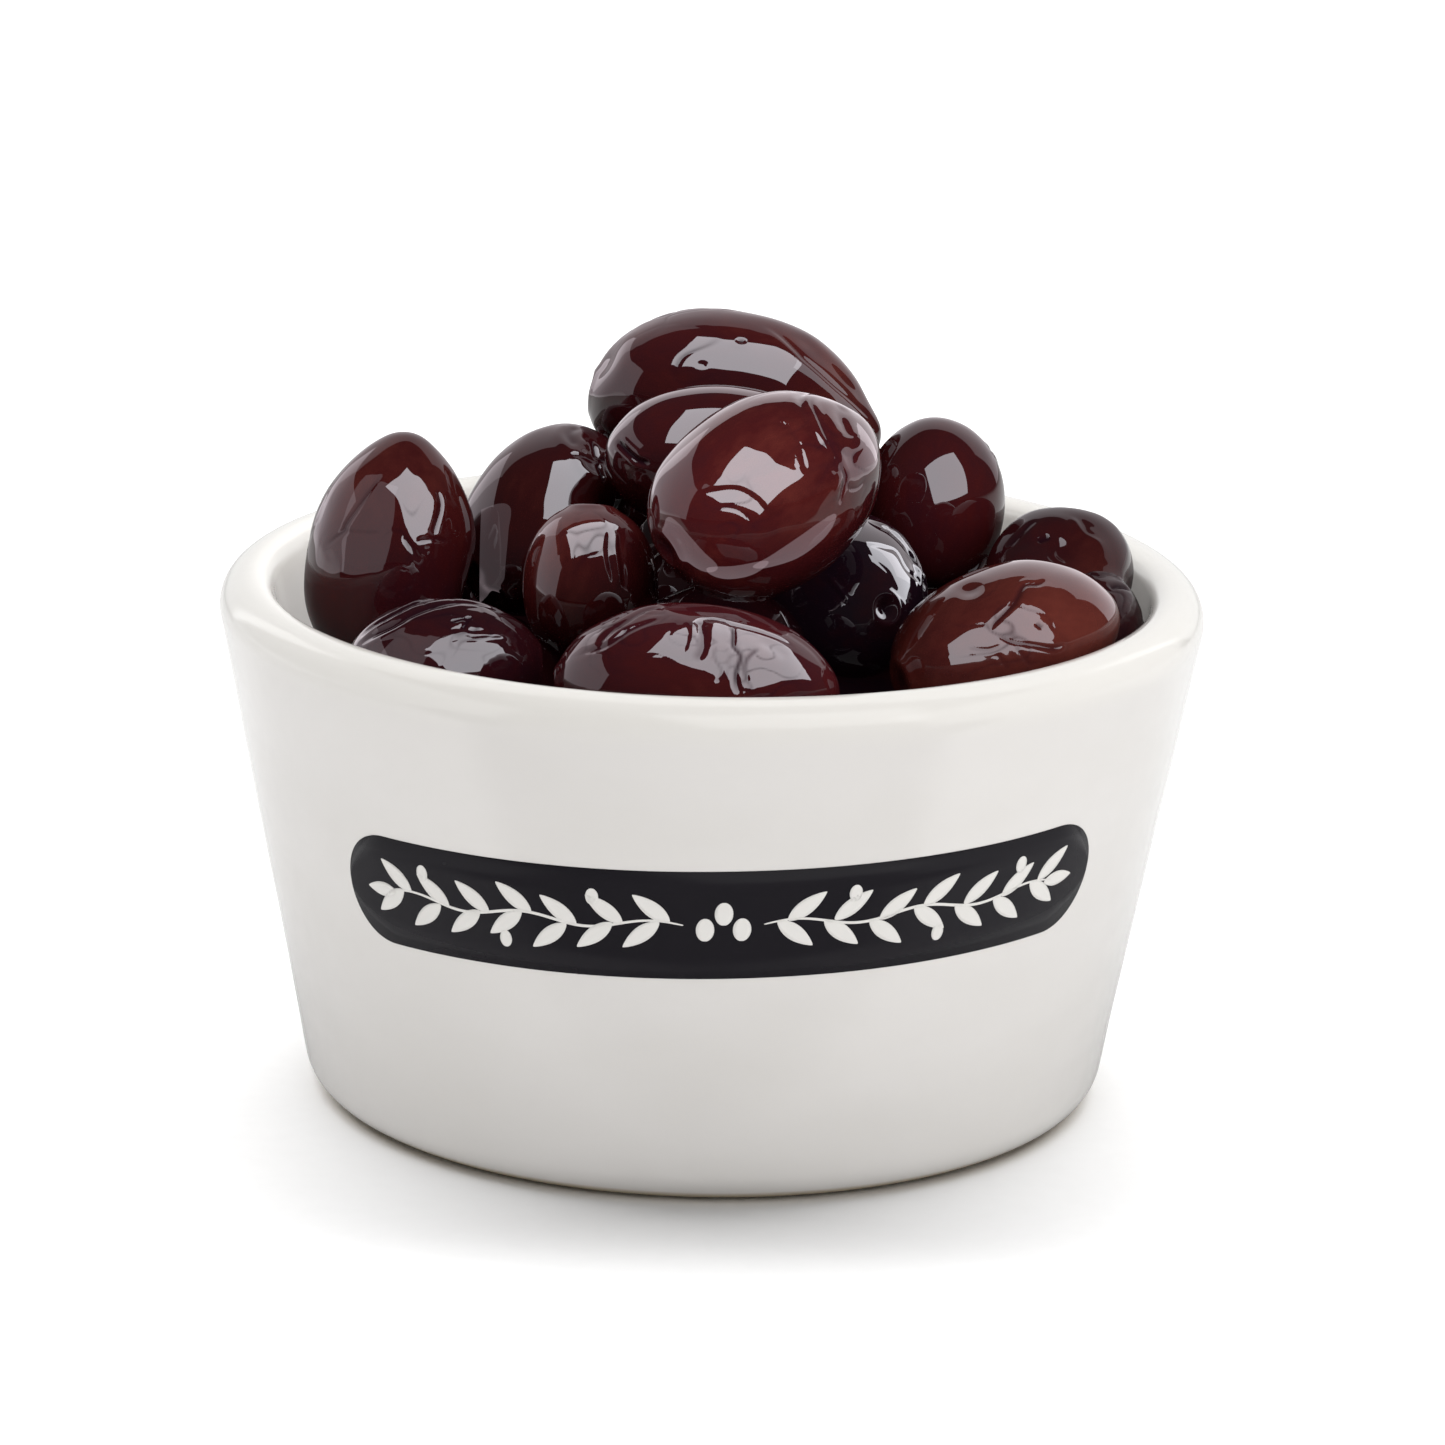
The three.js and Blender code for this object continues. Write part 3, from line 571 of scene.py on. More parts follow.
def dish_profile():
    """The dish's outline from the middle of its floor, up the inner wall, over the rim, down the outer wall
    and under the foot: straight lines joined by rounds that touch them."""
    lean = math.radians(LEAN)
    foot_middle = np.array([
        outer_radius(FOOT_ROUND - FOOT_ROUND * math.sin(lean)) - FOOT_ROUND * math.cos(lean),
        FOOT_ROUND,
    ])
    floor_middle_z = FLOOR + FLOOR_ROUND
    floor_middle = np.array([
        inner_radius(floor_middle_z - FLOOR_ROUND * math.sin(lean)) - FLOOR_ROUND * math.cos(lean),
        floor_middle_z,
    ])
    steps = STEPS_ALONG
    floor_round = arc(floor_middle, FLOOR_ROUND, -90, -LEAN, steps["floor_round"])
    rim_inner = arc(RIM_INNER_MIDDLE, RIM_INNER_ROUND, 180 - LEAN, 90, steps["rim_inner"])
    rim_outer = arc(RIM_MIDDLE, RIM_OUTER_ROUND, 90, -LEAN, steps["rim_outer"])
    foot_round = arc(foot_middle, FOOT_ROUND, -LEAN, -90, steps["foot_round"])
    ring_edge = np.array([FOOT_RING + FOOT_RECESS, 0.0])
    recess_edge = np.array([FOOT_RING, FOOT_RECESS])
    floor_centre = np.array([0.0, FLOOR])
    recess_centre = np.array([0.0, FOOT_RECESS])
    return np.vstack([
        floor_centre, straight(floor_centre, floor_round[0], steps["floor"]), floor_round,
        straight(floor_round[-1], rim_inner[0], steps["inner_wall"]), rim_inner, rim_outer[1:],
        straight(rim_outer[-1], foot_round[0], steps["outer_wall"]), foot_round, ring_edge, recess_edge,
        straight(recess_edge, recess_centre, steps["recess"]), recess_centre,
    ])


def dish_surface(settings):
    """The profile turned round, with the wall and rim drawn in by the unevenness and the rim's top
    dropped by half of it."""
    profile = dish_profile()
    radius, turn, z = lathe(profile, settings.sides)
    share = smooth_step((z - FOOT_ROUND) / FOOT_ROUND)
    drawn_in = share * wall_unevenness(radius, turn, z, settings.unevenness / MM)
    side = np.where(radius > RIM_MIDDLE[0] - SLOPE * (RIM_MIDDLE[1] - z), 1.0, -1.0)
    on_rim = smooth_step((z - RIM_MIDDLE[1]) / RIM_OUTER_ROUND)
    moved = radius - side * drawn_in * (1 - on_rim)
    ring_points = np.column_stack([moved * np.cos(turn), moved * np.sin(turn), z - 0.5 * drawn_in * on_rim])
    first = np.array([0.0, 0.0, profile[0, 1]])
    last = np.array([0.0, 0.0, profile[-1, 1]])
    return np.vstack([first, ring_points, last]), len(profile) - 2


# ------------------------------------------------------------------ the print on the dish

def on_wall(across, z, height, unevenness):
    """A point of the print: `across` is the distance round the wall from its front, measured at the
    band's middle, and `height` how far it stands off the uneven wall."""
    middle_radius = outer_radius(PRINT_MIDDLE)
    angle = across / middle_radius - np.pi / 2
    wall = outer_radius(z)
    radius = wall - wall_unevenness(wall, angle, z, unevenness) + height
    return np.column_stack([radius * np.cos(angle), radius * np.sin(angle), z])


def plate(centre, half_width, heading, thickness, settings, unevenness):
    """A thin closed plate on the wall. `centre` is its middle line as (across, z) points, `half_width` its
    half width at each, and `heading` the line's direction in radians. Each inner point of the line gives a
    ring: the face from one edge to the other at the plate's thickness, and back again inside the wall."""
    share = np.array([-1, -0.5, 0, 0.5, 1, 1, 0, -1])
    depth = np.array([1, 1, 1, 1, 1, 0, 0, 0])
    sideways = np.column_stack([-np.sin(heading), np.cos(heading)])
    across = centre[1:-1, None, :] + (sideways * half_width[:, None])[1:-1, None, :] * share[:, None]
    height = np.broadcast_to(np.where(depth, thickness, -PRINT_ROOT), across.shape[:2])
    flat = across.reshape(-1, 2)
    tilted = flat[:, 1] + flat[:, 0] * settings.tilt
    rings = on_wall(flat[:, 0], tilted, height.ravel(), unevenness)
    ends = centre[[0, -1]]
    poles = on_wall(ends[:, 0], ends[:, 1] + ends[:, 0] * settings.tilt, np.zeros(2), unevenness)
    return np.vstack([poles[:1], rings, poles[1:]]), len(centre) - 2, len(share)


def leaf(start, heading, length, width):
    """A leaf's middle line and half widths: a straight line, with a half width that rises as a sine to a
    pointed end."""
    share = (1 - np.cos(np.linspace(0, np.pi, 17))) / 2
    line = np.asarray(start) + share[:, None] * length * np.array([math.cos(heading), math.sin(heading)])
    half = 0.5 * width * np.sin(np.pi * share**0.85) ** 0.8
    return line, half, np.full(len(share), heading)


def fruit(middle, length, width):
    """An upright oval's middle line and half widths: half its width times the square root of 1 less the
    share squared."""
    share = -np.cos(np.linspace(0, np.pi, 15))
    line = np.asarray(middle) + 0.5 * share[:, None] * length * np.array([0.0, 1.0])
    return line, 0.5 * width * np.sqrt(1 - share**2), np.full(len(share), math.pi / 2)


def stem(start, end, z, wave, waves):
    """A wavy twig: its height is a sine along it, and its width tapers at both ends."""
    share = np.linspace(0, 1, 121)
    across = start + (end - start) * share
    line = np.column_stack([across, z + wave * np.sin(2 * np.pi * waves * share)])
    step = np.gradient(line, axis=0)
    half_width = 0.5 * STEM_WIDTH * np.sqrt(np.sin(np.pi * share) + 1e-9) ** 0.5
    return line, half_width, np.arctan2(step[:, 1], step[:, 0])


def band_line(settings):
    """The dark band's middle line and half widths: straight sides with a half circle at each end."""
    half = 0.5 * settings.height / MM
    start = -settings.reach_left / MM
    end = settings.reach_right / MM
    cap = half * (1 - np.cos(np.linspace(0, np.pi / 2, 20)))
    sides = np.linspace(start + half, end - half, 120)[1:-1]
    across = np.concatenate([start + cap, sides, end - cap[::-1]])
    into_cap = np.clip(np.maximum(start + half - across, across - end + half), 0, half)
    width = np.sqrt(np.maximum(half**2 - into_cap**2, 0))
    return np.column_stack([across, np.full(len(across), PRINT_MIDDLE)]), width, np.zeros(len(across))


def garland(settings):
    """The figures on the band: a wavy twig each side of the middle, with pairs of leaves along it, a small
    fruit between every second pair, and three fruits in the middle."""
    figures = []
    reach = 0.5 * (settings.reach_left + settings.reach_right) / MM - PRINT_MARGIN
    middle = 0.5 * (settings.reach_right - settings.reach_left) / MM
    pairs = settings.sprigs
    for side in (-1, 1):
        start = middle + side * TWIG_START
        end = middle + side * reach
        outwards = 0.0 if side > 0 else math.pi
        figures.append(stem(start, end, PRINT_MIDDLE, TWIG_WAVE, TWIG_WAVES))
        for i in range(pairs):
            share = (i + LEAF_PHASE) / pairs
            root = np.array([start + (end - start) * share,
                             PRINT_MIDDLE + TWIG_WAVE * math.sin(2 * math.pi * TWIG_WAVES * share)])
            for turn, step in zip((-1, 1), LEAF_STEPS):
                angle = outwards + turn * LEAF_ANGLE
                figures.append(leaf(root + np.array([side * step, 0.0]), angle, LEAF_LENGTH, LEAF_WIDTH))
        figures.append(leaf((end - side * LAST_LEAF_ROOT, PRINT_MIDDLE), outwards, *LAST_LEAF))
        for i in range(1, pairs, 2):
            share = (i + FRUIT_PHASE) / pairs
            above = 1 if i % 4 == 1 else -1
            root = np.array([start + (end - start) * share, PRINT_MIDDLE + above * SMALL_FRUIT_LIFT])
            figures.append(fruit(root, FRUIT_LENGTH * SMALL_FRUIT, FRUIT_WIDTH * SMALL_FRUIT))
    for shift, lift in MIDDLE_FRUITS:
        figures.append(fruit((middle + shift, PRINT_MIDDLE + lift), FRUIT_LENGTH, FRUIT_WIDTH))
    return figures


# ------------------------------------------------------------------ olives

class Olive:
    """One olive of the table. Its skin is a surface of revolution about its own axis: with t from 1 at
    the tip to -1 at the stem, the radius is half the width times sqrt(1 - t^2), raised to a higher power
    towards a pointed tip, which is itself rounded off, and squared off towards a blunt stem. The bend
    lowers both ends by t^2."""

    def __init__(self, row):
        self.at = np.array(row["at"], float)
        self.length = row["length"]
        self.width = row["width"]
        self.point = row.get("point", 0.0)
        self.blunt = row.get("blunt", 2.0)
        self.bend = row.get("bend", 0.0)
        self.tone = row.get("tone", 0.0)
        self.lumps = row.get("lumps", 1.0)
        self.marks = row.get("marks", [])
        yaw = math.radians(row["yaw"])
        pitch = math.radians(row.get("pitch", 0.0))
        axis = np.array([math.cos(pitch) * math.cos(yaw), math.cos(pitch) * math.sin(yaw), math.sin(pitch)])
        side = np.array([-math.sin(yaw), math.cos(yaw), 0.0])
        self.turn = np.stack([axis, side, np.cross(axis, side)])

    def radius(self, t):
        """The skin's distance from the axis."""
        sharp = 2 * self.point * np.maximum(t, 0) * (1 - np.abs(t) ** TIP_ROUND)
        tip = np.sqrt(np.maximum(1 - t * t, 0)) ** (1 + sharp)
        stem_end = np.maximum(1 - np.abs(t) ** self.blunt, 0) ** (1 / self.blunt)
        return 0.5 * self.width * np.where(t > 0, tip, stem_end)

    def skin(self, t, angle):
        """Points of the smooth skin, along the olive's own axis, side and up."""
        radius = self.radius(t)
        return np.column_stack([0.5 * self.length * t, radius * np.cos(angle),
                                radius * np.sin(angle) - self.bend * t * t])

    def world(self, points):
        """Points turned from the olive's own directions to the heap's, and put in their place."""
        return points @ self.turn + self.at

    def place(self, along, angle):
        """One point of the skin, in the olive's own directions."""
        return self.skin(np.array([float(along)]), np.radians([float(angle)]))[0]

    def gap(self, points):
        """About how far points lie outside the smooth skin: the distance beyond its radius, corrected
        for the skin's slope, and beyond its ends."""
        own = (points - self.at) @ self.turn.T
        limit = 0.96
        t = np.clip(own[:, 0] / (0.5 * self.length), -limit, limit)
        radius = self.radius(t)
        step = 0.02
        slope = (self.radius(t + step) - self.radius(t - step)) / (step * self.length)
        beyond = np.hypot(own[:, 1], own[:, 2] + self.bend * t * t) - radius
        past_end = np.maximum(np.abs(own[:, 0]) - limit * 0.5 * self.length, 0)
        return np.where(past_end > 0, np.hypot(np.maximum(beyond, 0), past_end), beyond / np.hypot(1, slope))


def seeded_marks(olive, random):
    """Creases, a stem scar and patches of fine wrinkles, where no marks were listed: these lie on
    the side that is looked at, so an olive that has any gets seeded ones on its far side alone."""
    marks = [dent(-1.0, 0, **STEM_SCAR)]
    hand_made = bool(olive.marks)
    few, many = SEEDED_CREASES
    for _ in range(few if hand_made else many):
        angle = random.uniform(0, 360)
        along = random.uniform(*SEEDED_START)
        middle = olive.world(olive.place(along, angle)[None])[0] - olive.at
        in_front = -middle[1] + 0.4 * middle[2] > 0
        if hand_made and in_front:
            continue
        run = random.uniform(*SEEDED_RUN)
        swing = random.uniform(*SEEDED_SWING)
        marks.append(crease((along, angle), (along + run * 0.5, angle + swing * random.uniform(0.2, 0.8)),
                            (along + run, angle + swing), width=random.uniform(0.3, 0.5),
                            depth=random.uniform(0.1, 0.25), lip=random.uniform(0.02, 0.1)))
        marks.append(crinkle(along, angle, random.uniform(3, 6), random.uniform(0.06, 0.16), 1.8))
    return marks


def distance_to_line(points, line):
    """Each point's distance to the nearest place on a line of straight stretches, the share of the way
    along it, and the line's direction there."""
    stretches = np.diff(line, axis=0)
    lengths = np.linalg.norm(stretches, axis=1)
    before = np.concatenate([[0], np.cumsum(lengths)])
    nearest = np.full(len(points), np.inf)
    share = np.zeros(len(points))
    offset = np.zeros((len(points), 3))
    heading = np.zeros((len(points), 3))
    for start, stretch, length, passed in zip(line, stretches, lengths, before):
        along = np.clip((points - start) @ stretch / length**2, 0, 1)
        away = points - start - along[:, None] * stretch
        distance = np.linalg.norm(away, axis=1)
        closer = distance < nearest
        nearest[closer] = distance[closer]
        share[closer] = (passed + along[closer] * length) / before[-1]
        offset[closer] = away[closer]
        heading[closer] = stretch / length
    return nearest, share, offset, heading


def mark_relief(olive, skin, outwards, mark, seed):
    """One mark's height over the skin and its darkness, which is painted shade. A crease is a Gaussian groove
    across its line, painted darker the steeper it is, that tapers off at both ends. A dent is a Gaussian
    hollow round its middle, with a Gaussian rim round it and painted shade in its middle, and a crinkled
    patch has cracks, painted dark, and soft noise that fade as a Gaussian."""
    if "line" in mark:
        with np.errstate(divide="ignore"):
            places = np.array([olive.place(along, angle) for along, angle in mark["line"]])
        if not np.isfinite(places).all():
            # A seeded crease that runs off a pointed tip has places beyond all bounds, and leaves no mark.
            return np.zeros(len(skin)), np.zeros(len(skin))
        distance, share, offset, heading = distance_to_line(skin, smooth_line(places))
        taper = smooth_step(share * TAPER) * smooth_step((1 - share) * TAPER)
        across = distance / mark["width"]
        groove = -mark["depth"] * np.exp(-across**2)
        lips = mark["lip"] * np.exp(-(across - LIP_PLACE) ** 2)
        left = np.einsum("ij,ij->i", np.cross(outwards, heading), offset) > 0
        fold = mark["fold"] * np.where(left == (mark["fold"] > 0), 1.0, 0.0) * np.sign(mark["fold"])
        raised = fold * np.exp(-((distance / mark["reach"]) ** 2)) * smooth_step(across / 1.5)
        height = taper * (groove + lips + raised)
        steepness = mark["depth"] / mark["width"]
        dark = taper * np.exp(-((across / 1.1) ** 2)) * min(max(2.2 * steepness - 0.3, 0), 1)
        return height, dark
    middle = olive.place(mark["along"], mark["angle"])
    reach = np.linalg.norm(skin - middle, axis=1) / mark["radius"]
    if "crinkle" in mark:
        size = CRACK_NOISE * (np.array(CRACK_STRETCH) * mark["size"])
        lines = cracks(skin, size, seed)
        patch = np.exp(-reach**2)
        soft = 0.5 * noise(skin, size, seed + 1)
        return mark["crinkle"] * patch * (soft - 0.7 * lines), 0.7 * patch * lines
    height = -mark["depth"] * np.exp(-reach**2) + mark["rim"] * np.exp(-((reach - DENT_RIM) * 2) ** 2)
    return height, mark["dark"] * np.exp(-((reach / 0.8) ** 2))


def wet_fillet(gap, reach):
    """The brine that clings between two wet surfaces raises each by (reach - gap)^2 / (4 reach), as a smooth
    union of the two does."""
    return np.clip(reach - gap, 0, reach) ** 2 / (4 * reach)


def gathered(count, low, high, middle):
    """Steps from low to high that lie closer together round the middle: even steps of a running total of
    one plus a Gaussian."""
    fine = np.linspace(low, high, FINE_STEPS)
    density = 1 + GATHERING * np.exp(-(((fine - middle) / GATHERING_WIDTH) ** 2))
    passed = np.concatenate([[0], np.cumsum(0.5 * (density[1:] + density[:-1]))])
    return np.interp(np.linspace(0, passed[-1], count + 1), passed, fine)


def olive_surface(olive, others, around, along, seed, settings):
    """The smooth skin, raised along its outward direction by soft lumps, by its marks and by the brine
    between it, its neighbours and the dish's wall."""
    facing = olive.turn @ np.array(towards(0, CAMERA_TILT))
    theta = gathered(along, 0, np.pi, math.acos(facing[0]))[1:-1]
    front = math.atan2(facing[2], facing[1])
    turn = gathered(around, front - np.pi, front + np.pi, front)[:-1]
    t = np.concatenate([[1.0], np.repeat(np.cos(theta), around), [-1.0]])
    angle = np.concatenate([[0.0], np.tile(turn, along - 1), [0.0]])
    skin = olive.skin(t, angle)
    size = 0.5 * np.array([olive.length, olive.width, olive.width])
    straightened = skin + np.column_stack([0 * t, 0 * t, olive.bend * t * t])
    outwards = straightened / size**2
    outwards /= np.linalg.norm(outwards, axis=1, keepdims=True)

    lump_height = settings.lumps / MM * olive.lumps
    small_lumps = SMALL_LUMP_SHARE * noise(skin, SMALL_LUMP_SIZE, seed + 1)
    height = lump_height * (noise(skin, LUMP_SIZE, seed) + small_lumps)
    height += settings.wrinkles / MM * olive.lumps * noise(skin, WRINKLE_SIZE, seed + 2)
    random = np.random.default_rng(seed + 3)
    # dark collects the marks' painted shade: in creases, hollows and cracks.
    dark = np.zeros(len(t))
    warmth = np.full(len(t), olive.tone)
    for number, mark in enumerate([*olive.marks, *seeded_marks(olive, random)]):
        if "warmth" in mark:
            reach = np.linalg.norm(skin - olive.place(mark["along"], mark["angle"]), axis=1) / mark["radius"]
            warmth += mark["warmth"] * np.exp(-reach**2)
            continue
        raised, shade = mark_relief(olive, skin, outwards, mark, seed + 10 + number)
        height += raised
        dark = np.maximum(dark, shade)

    points = olive.world(skin + outwards * height[:, None])
    world_outwards = outwards @ olive.turn
    reach = settings.brine_reach / MM
    brine = np.zeros(len(t))
    for other in others:
        near = 0.5 * (olive.length + other.length) + reach
        if np.linalg.norm(other.at - olive.at) < near:
            brine = np.maximum(brine, wet_fillet(other.gap(points), reach))
    level_gap = inner_radius(points[:, 2]) - np.hypot(points[:, 0], points[:, 1])
    wall_gap = level_gap * math.cos(math.radians(LEAN))
    below_rim = smooth_step((HEIGHT - RIM_INNER_ROUND - points[:, 2]) / 2.0)
    brine = np.maximum(brine, below_rim * wet_fillet(wall_gap, reach))
    points += world_outwards * brine[:, None]
    pattern = skin + PATTERN_SPREAD * random.uniform(size=3)
    return points, along - 1, {"skin": pattern, "tone": warmth, "dark": dark}


def core_surface():
    """The brine and the olives that fill the dish, as one lumpy dome: the CAD core's outline, a gap
    inside the wall, with soft noise on its top. It takes the darker copy of the skin in a near-black tone:
    painted shade in the deep gaps between the olives."""
    edge = inner_radius(CORE_EDGE) - CORE_GAP
    bottom = FLOOR + CORE_GAP
    share = np.linspace(0, 1, 40)[:-1]
    top = np.column_stack([edge * share, CORE_EDGE + (CORE_TOP - CORE_EDGE) * (1 - share**2)])
    side_z = np.linspace(CORE_EDGE, bottom + FLOOR_ROUND, 10)
    side = np.column_stack([inner_radius(side_z) - CORE_GAP, side_z])
    base_radius = inner_radius(FLOOR + FLOOR_ROUND) - FLOOR_ROUND
    under = np.array([[base_radius, bottom], [0.5 * base_radius, bottom], [0.0, bottom]])
    profile = np.vstack([top, side, under])
    radius, turn, z = lathe(profile, CORE_SIDES)
    place = np.column_stack([radius * np.cos(turn), radius * np.sin(turn), z])
    on_top = smooth_step((z - CORE_EDGE) / 3.0)
    place[:, 2] += on_top * CORE_BUMPS * np.minimum(noise(place, CORE_BUMP_SIZE, CORE_SEED), 0.0)
    first = np.array([0.0, 0.0, CORE_TOP])
    last = np.array([0.0, 0.0, bottom])
    return np.vstack([first, place, last]), len(profile) - 2


# ------------------------------------------------------------------ materials

SKIN_ROUGHNESS = 0.05
SUNK_ROUGHNESS = 0.06       # the deep olives and the core
# The deep olives and the core take a darker copy of the skin's colours: painted shade, as they lie deep in
# the heap.
SUNK_SHADE = 0.6            # how much darker their colours are
BRINE_IOR = 1.5
SKIN_BUMP = 0.00007         # metres
GLAZE_ROUGHNESS = 0.16
GLAZE_BUMP = 0.00022
IRON = (0.2, 0.13, 0.08)    # colour of the glaze's specks
PRINT_ROUGHNESS = 0.25
PRINT_IOR = 1.25
FLOOR_FRONT = (-0.05, -0.06)       # where the floor's dark front begins, and is full
FLOOR_FRONT_SPREAD = 0.32          # how it widens: a share of the distance to each side
FLOOR_BEHIND = (0.03, 0.1, 0.2)    # from where to where the floor brightens in reflections, and how far


def add_node(tree, kind, values=None, **settings):
    """A node of this kind, with its settings and the values of its unlinked sockets."""
    node = tree.nodes.new(kind)
    for name, value in settings.items():
        setattr(node, name, value)
    for socket, value in (values or {}).items():
        node.inputs[socket].default_value = value
    return node


def maths(tree, operation, first, second=None, clamp=False):
    """A Math node; each argument is a socket or a number."""
    node = add_node(tree, "ShaderNodeMath", operation=operation, use_clamp=clamp)
    for number, value in enumerate((first, second)):
        if isinstance(value, (int, float)):
            node.inputs[number].default_value = value
        elif value is not None:
            tree.links.new(value, node.inputs[number])
    return node.outputs[0]


def mix_colours(tree, share, first, second):
    """A colour mix; each argument is a socket, a number or a colour."""
    node = add_node(tree, "ShaderNodeMix", data_type="RGBA")
    for number, value in ((0, share), (6, first), (7, second)):
        if isinstance(value, bpy.types.NodeSocket):
            tree.links.new(value, node.inputs[number])
        else:
            node.inputs[number].default_value = value
    return node.outputs[2]


def map_range(tree, value, low, high, to_low=0.0, to_high=1.0, smooth=False):
    """A value's range moved from low..high to to_low..to_high, clamped."""
    kind = "SMOOTHSTEP" if smooth else "LINEAR"
    node = add_node(tree, "ShaderNodeMapRange", interpolation_type=kind)
    for number, number_value in ((1, low), (2, high), (3, to_low), (4, to_high)):
        node.inputs[number].default_value = number_value
    tree.links.new(value, node.inputs[0])
    return node.outputs[0]


def noise_texture(tree, vector, scale, detail=2.0, roughness=0.5, stretch=None):
    """A noise texture read at a vector, which may be stretched first."""
    if stretch:
        mapping = add_node(tree, "ShaderNodeMapping", {"Scale": stretch})
        tree.links.new(vector, mapping.inputs["Vector"])
        vector = mapping.outputs[0]
    node = add_node(tree, "ShaderNodeTexNoise", {"Scale": scale, "Detail": detail, "Roughness": roughness})
    tree.links.new(vector, node.inputs["Vector"])
    return node.outputs[0]


def new_group(name, inputs, outputs):
    """A shader node group with named sockets, and its input and output nodes."""
    group = bpy.data.node_groups.new(name, "ShaderNodeTree")
    for label, kind in inputs:
        group.interface.new_socket(label, in_out="INPUT", socket_type=kind)
    for label, kind in outputs:
        group.interface.new_socket(label, in_out="OUTPUT", socket_type=kind)
    return group, group.nodes.new("NodeGroupInput"), group.nodes.new("NodeGroupOutput")


def skin_group():
    """Olive skin: red-brown that is mottled along the fruit, with pale pin-pricks, a fine grain of pores and
    wrinkles, and creases that are darker and mirror less, as they lie in their own shade."""
    group, given, made = new_group(
        "olive_skin_grain",
        [("Skin", "NodeSocketVector"), ("Tone", "NodeSocketFloat"), ("Dark", "NodeSocketFloat"),
         ("Black", "NodeSocketColor"), ("Body", "NodeSocketColor"), ("Warm", "NodeSocketColor")],
        [("Color", "NodeSocketColor"), ("Height", "NodeSocketFloat"), ("Film", "NodeSocketFloat")],
    )
    skin = given.outputs["Skin"]
    broad = noise_texture(group, skin, 0.16, 3.0, 0.55, stretch=(0.6, 1.0, 1.0))
    fine = noise_texture(group, skin, 0.9, 4.0, 0.6, stretch=(0.55, 1.0, 1.0))
    mottle = maths(group, "ADD", map_range(group, broad, 0.3, 0.7, -0.25, 0.25),
                   map_range(group, fine, 0.3, 0.7, -0.12, 0.12))
    tone = maths(group, "ADD", given.outputs["Tone"], mottle)
    towards_body = map_range(group, tone, -1.1, 0.1)
    towards_warm = map_range(group, tone, 0.1, 1.2)
    colour = mix_colours(group, towards_body, given.outputs["Black"], given.outputs["Body"])
    colour = mix_colours(group, towards_warm, colour, given.outputs["Warm"])
    pricks = add_node(group, "ShaderNodeTexVoronoi", {"Scale": 0.85, "Randomness": 1.0})
    group.links.new(skin, pricks.inputs["Vector"])
    prick = map_range(group, pricks.outputs["Distance"], 0.03, 0.09, 0.12, 0.0)
    colour = mix_colours(group, prick, colour, given.outputs["Warm"])
    # Painted shade: the marks' creases, hollows and cracks are mixed towards the black.
    colour = mix_colours(group, maths(group, "MULTIPLY", given.outputs["Dark"], 0.75, clamp=True), colour,
                         given.outputs["Black"])
    group.links.new(colour, made.inputs["Color"])
    pores = noise_texture(group, skin, 3.2, 2.0)
    wrinkle = noise_texture(group, skin, 0.75, 3.0, 0.6, stretch=(0.45, 1.0, 1.0))
    height = maths(group, "ADD", wrinkle, maths(group, "MULTIPLY", pores, 0.12))
    group.links.new(height, made.inputs["Height"])
    group.links.new(map_range(group, given.outputs["Dark"], 0.1, 1.0, 1.0, 0.08), made.inputs["Film"])
    return group


def glaze_group():
    """Hand-made glaze: an even colour clouded a little by a second one, sparse dark specks of iron, and a
    very soft orange-peel height."""
    group, given, made = new_group(
        "glaze_specks",
        [("Place", "NodeSocketVector"), ("Color", "NodeSocketColor"), ("Cloud", "NodeSocketColor"),
         ("Speck", "NodeSocketColor")],
        [("Color", "NodeSocketColor"), ("Height", "NodeSocketFloat"), ("Roughness", "NodeSocketFloat")],
    )
    place = given.outputs["Place"]
    clouds = noise_texture(group, place, 45.0, 3.0, 0.5, stretch=(1.0, 1.0, 2.2))
    colour = mix_colours(group, map_range(group, clouds, 0.35, 0.75), given.outputs["Color"],
                         given.outputs["Cloud"])
    cells = add_node(group, "ShaderNodeTexVoronoi", {"Scale": 150.0, "Randomness": 1.0})
    group.links.new(place, cells.inputs["Vector"])
    split = add_node(group, "ShaderNodeSeparateColor")
    group.links.new(cells.outputs["Color"], split.inputs[0])
    chosen = map_range(group, split.outputs[0], 0.9, 0.93)
    size = map_range(group, cells.outputs["Distance"], 0.016, 0.045, 1.0, 0.0, smooth=True)
    speck = maths(group, "MULTIPLY", maths(group, "MULTIPLY", chosen, size), 0.5)
    colour = mix_colours(group, speck, colour, given.outputs["Speck"])
    group.links.new(colour, made.inputs["Color"])
    peel = noise_texture(group, place, 260.0, 2.0)
    waves = noise_texture(group, place, 55.0, 1.0, 0.4, stretch=(1.0, 1.0, 3.0))
    height = maths(group, "ADD", maths(group, "MULTIPLY", peel, 0.12), waves)
    group.links.new(height, made.inputs["Height"])
    group.links.new(map_range(group, clouds, 0.3, 0.7, -0.02, 0.03), made.inputs["Roughness"])
    return group


def shared_group(name, make):
    """The named node group, made the first time that it is asked for."""
    return bpy.data.node_groups.get(name) or make()


def new_material(name, **principled):
    """A material with one Principled shader, its constant values set on the shader's own sockets."""
    material = bpy.data.materials.new(name)
    material.use_nodes = True
    tree = material.node_tree
    shader = tree.nodes["Principled BSDF"]
    for socket, value in principled.items():
        shader.inputs[socket.replace("_", " ")].default_value = value
    return material, tree, shader


def bump(tree, shader, height, distance):
    """A Bump node whose height is scaled by a real distance, into the shader's Normal."""
    node = add_node(tree, "ShaderNodeBump", {"Distance": distance, "Strength": 1.0})
    tree.links.new(height, node.inputs["Height"])
    tree.links.new(node.outputs[0], shader.inputs["Normal"])


def place_group(tree, group, values):
    """A group node in a material, with its values set."""
    node = add_node(tree, "ShaderNodeGroup", node_tree=group)
    for socket, value in values.items():
        node.inputs[socket].default_value = value
    return node


def rgba(colour):
    """A colour with its alpha."""
    return (*colour, 1.0)


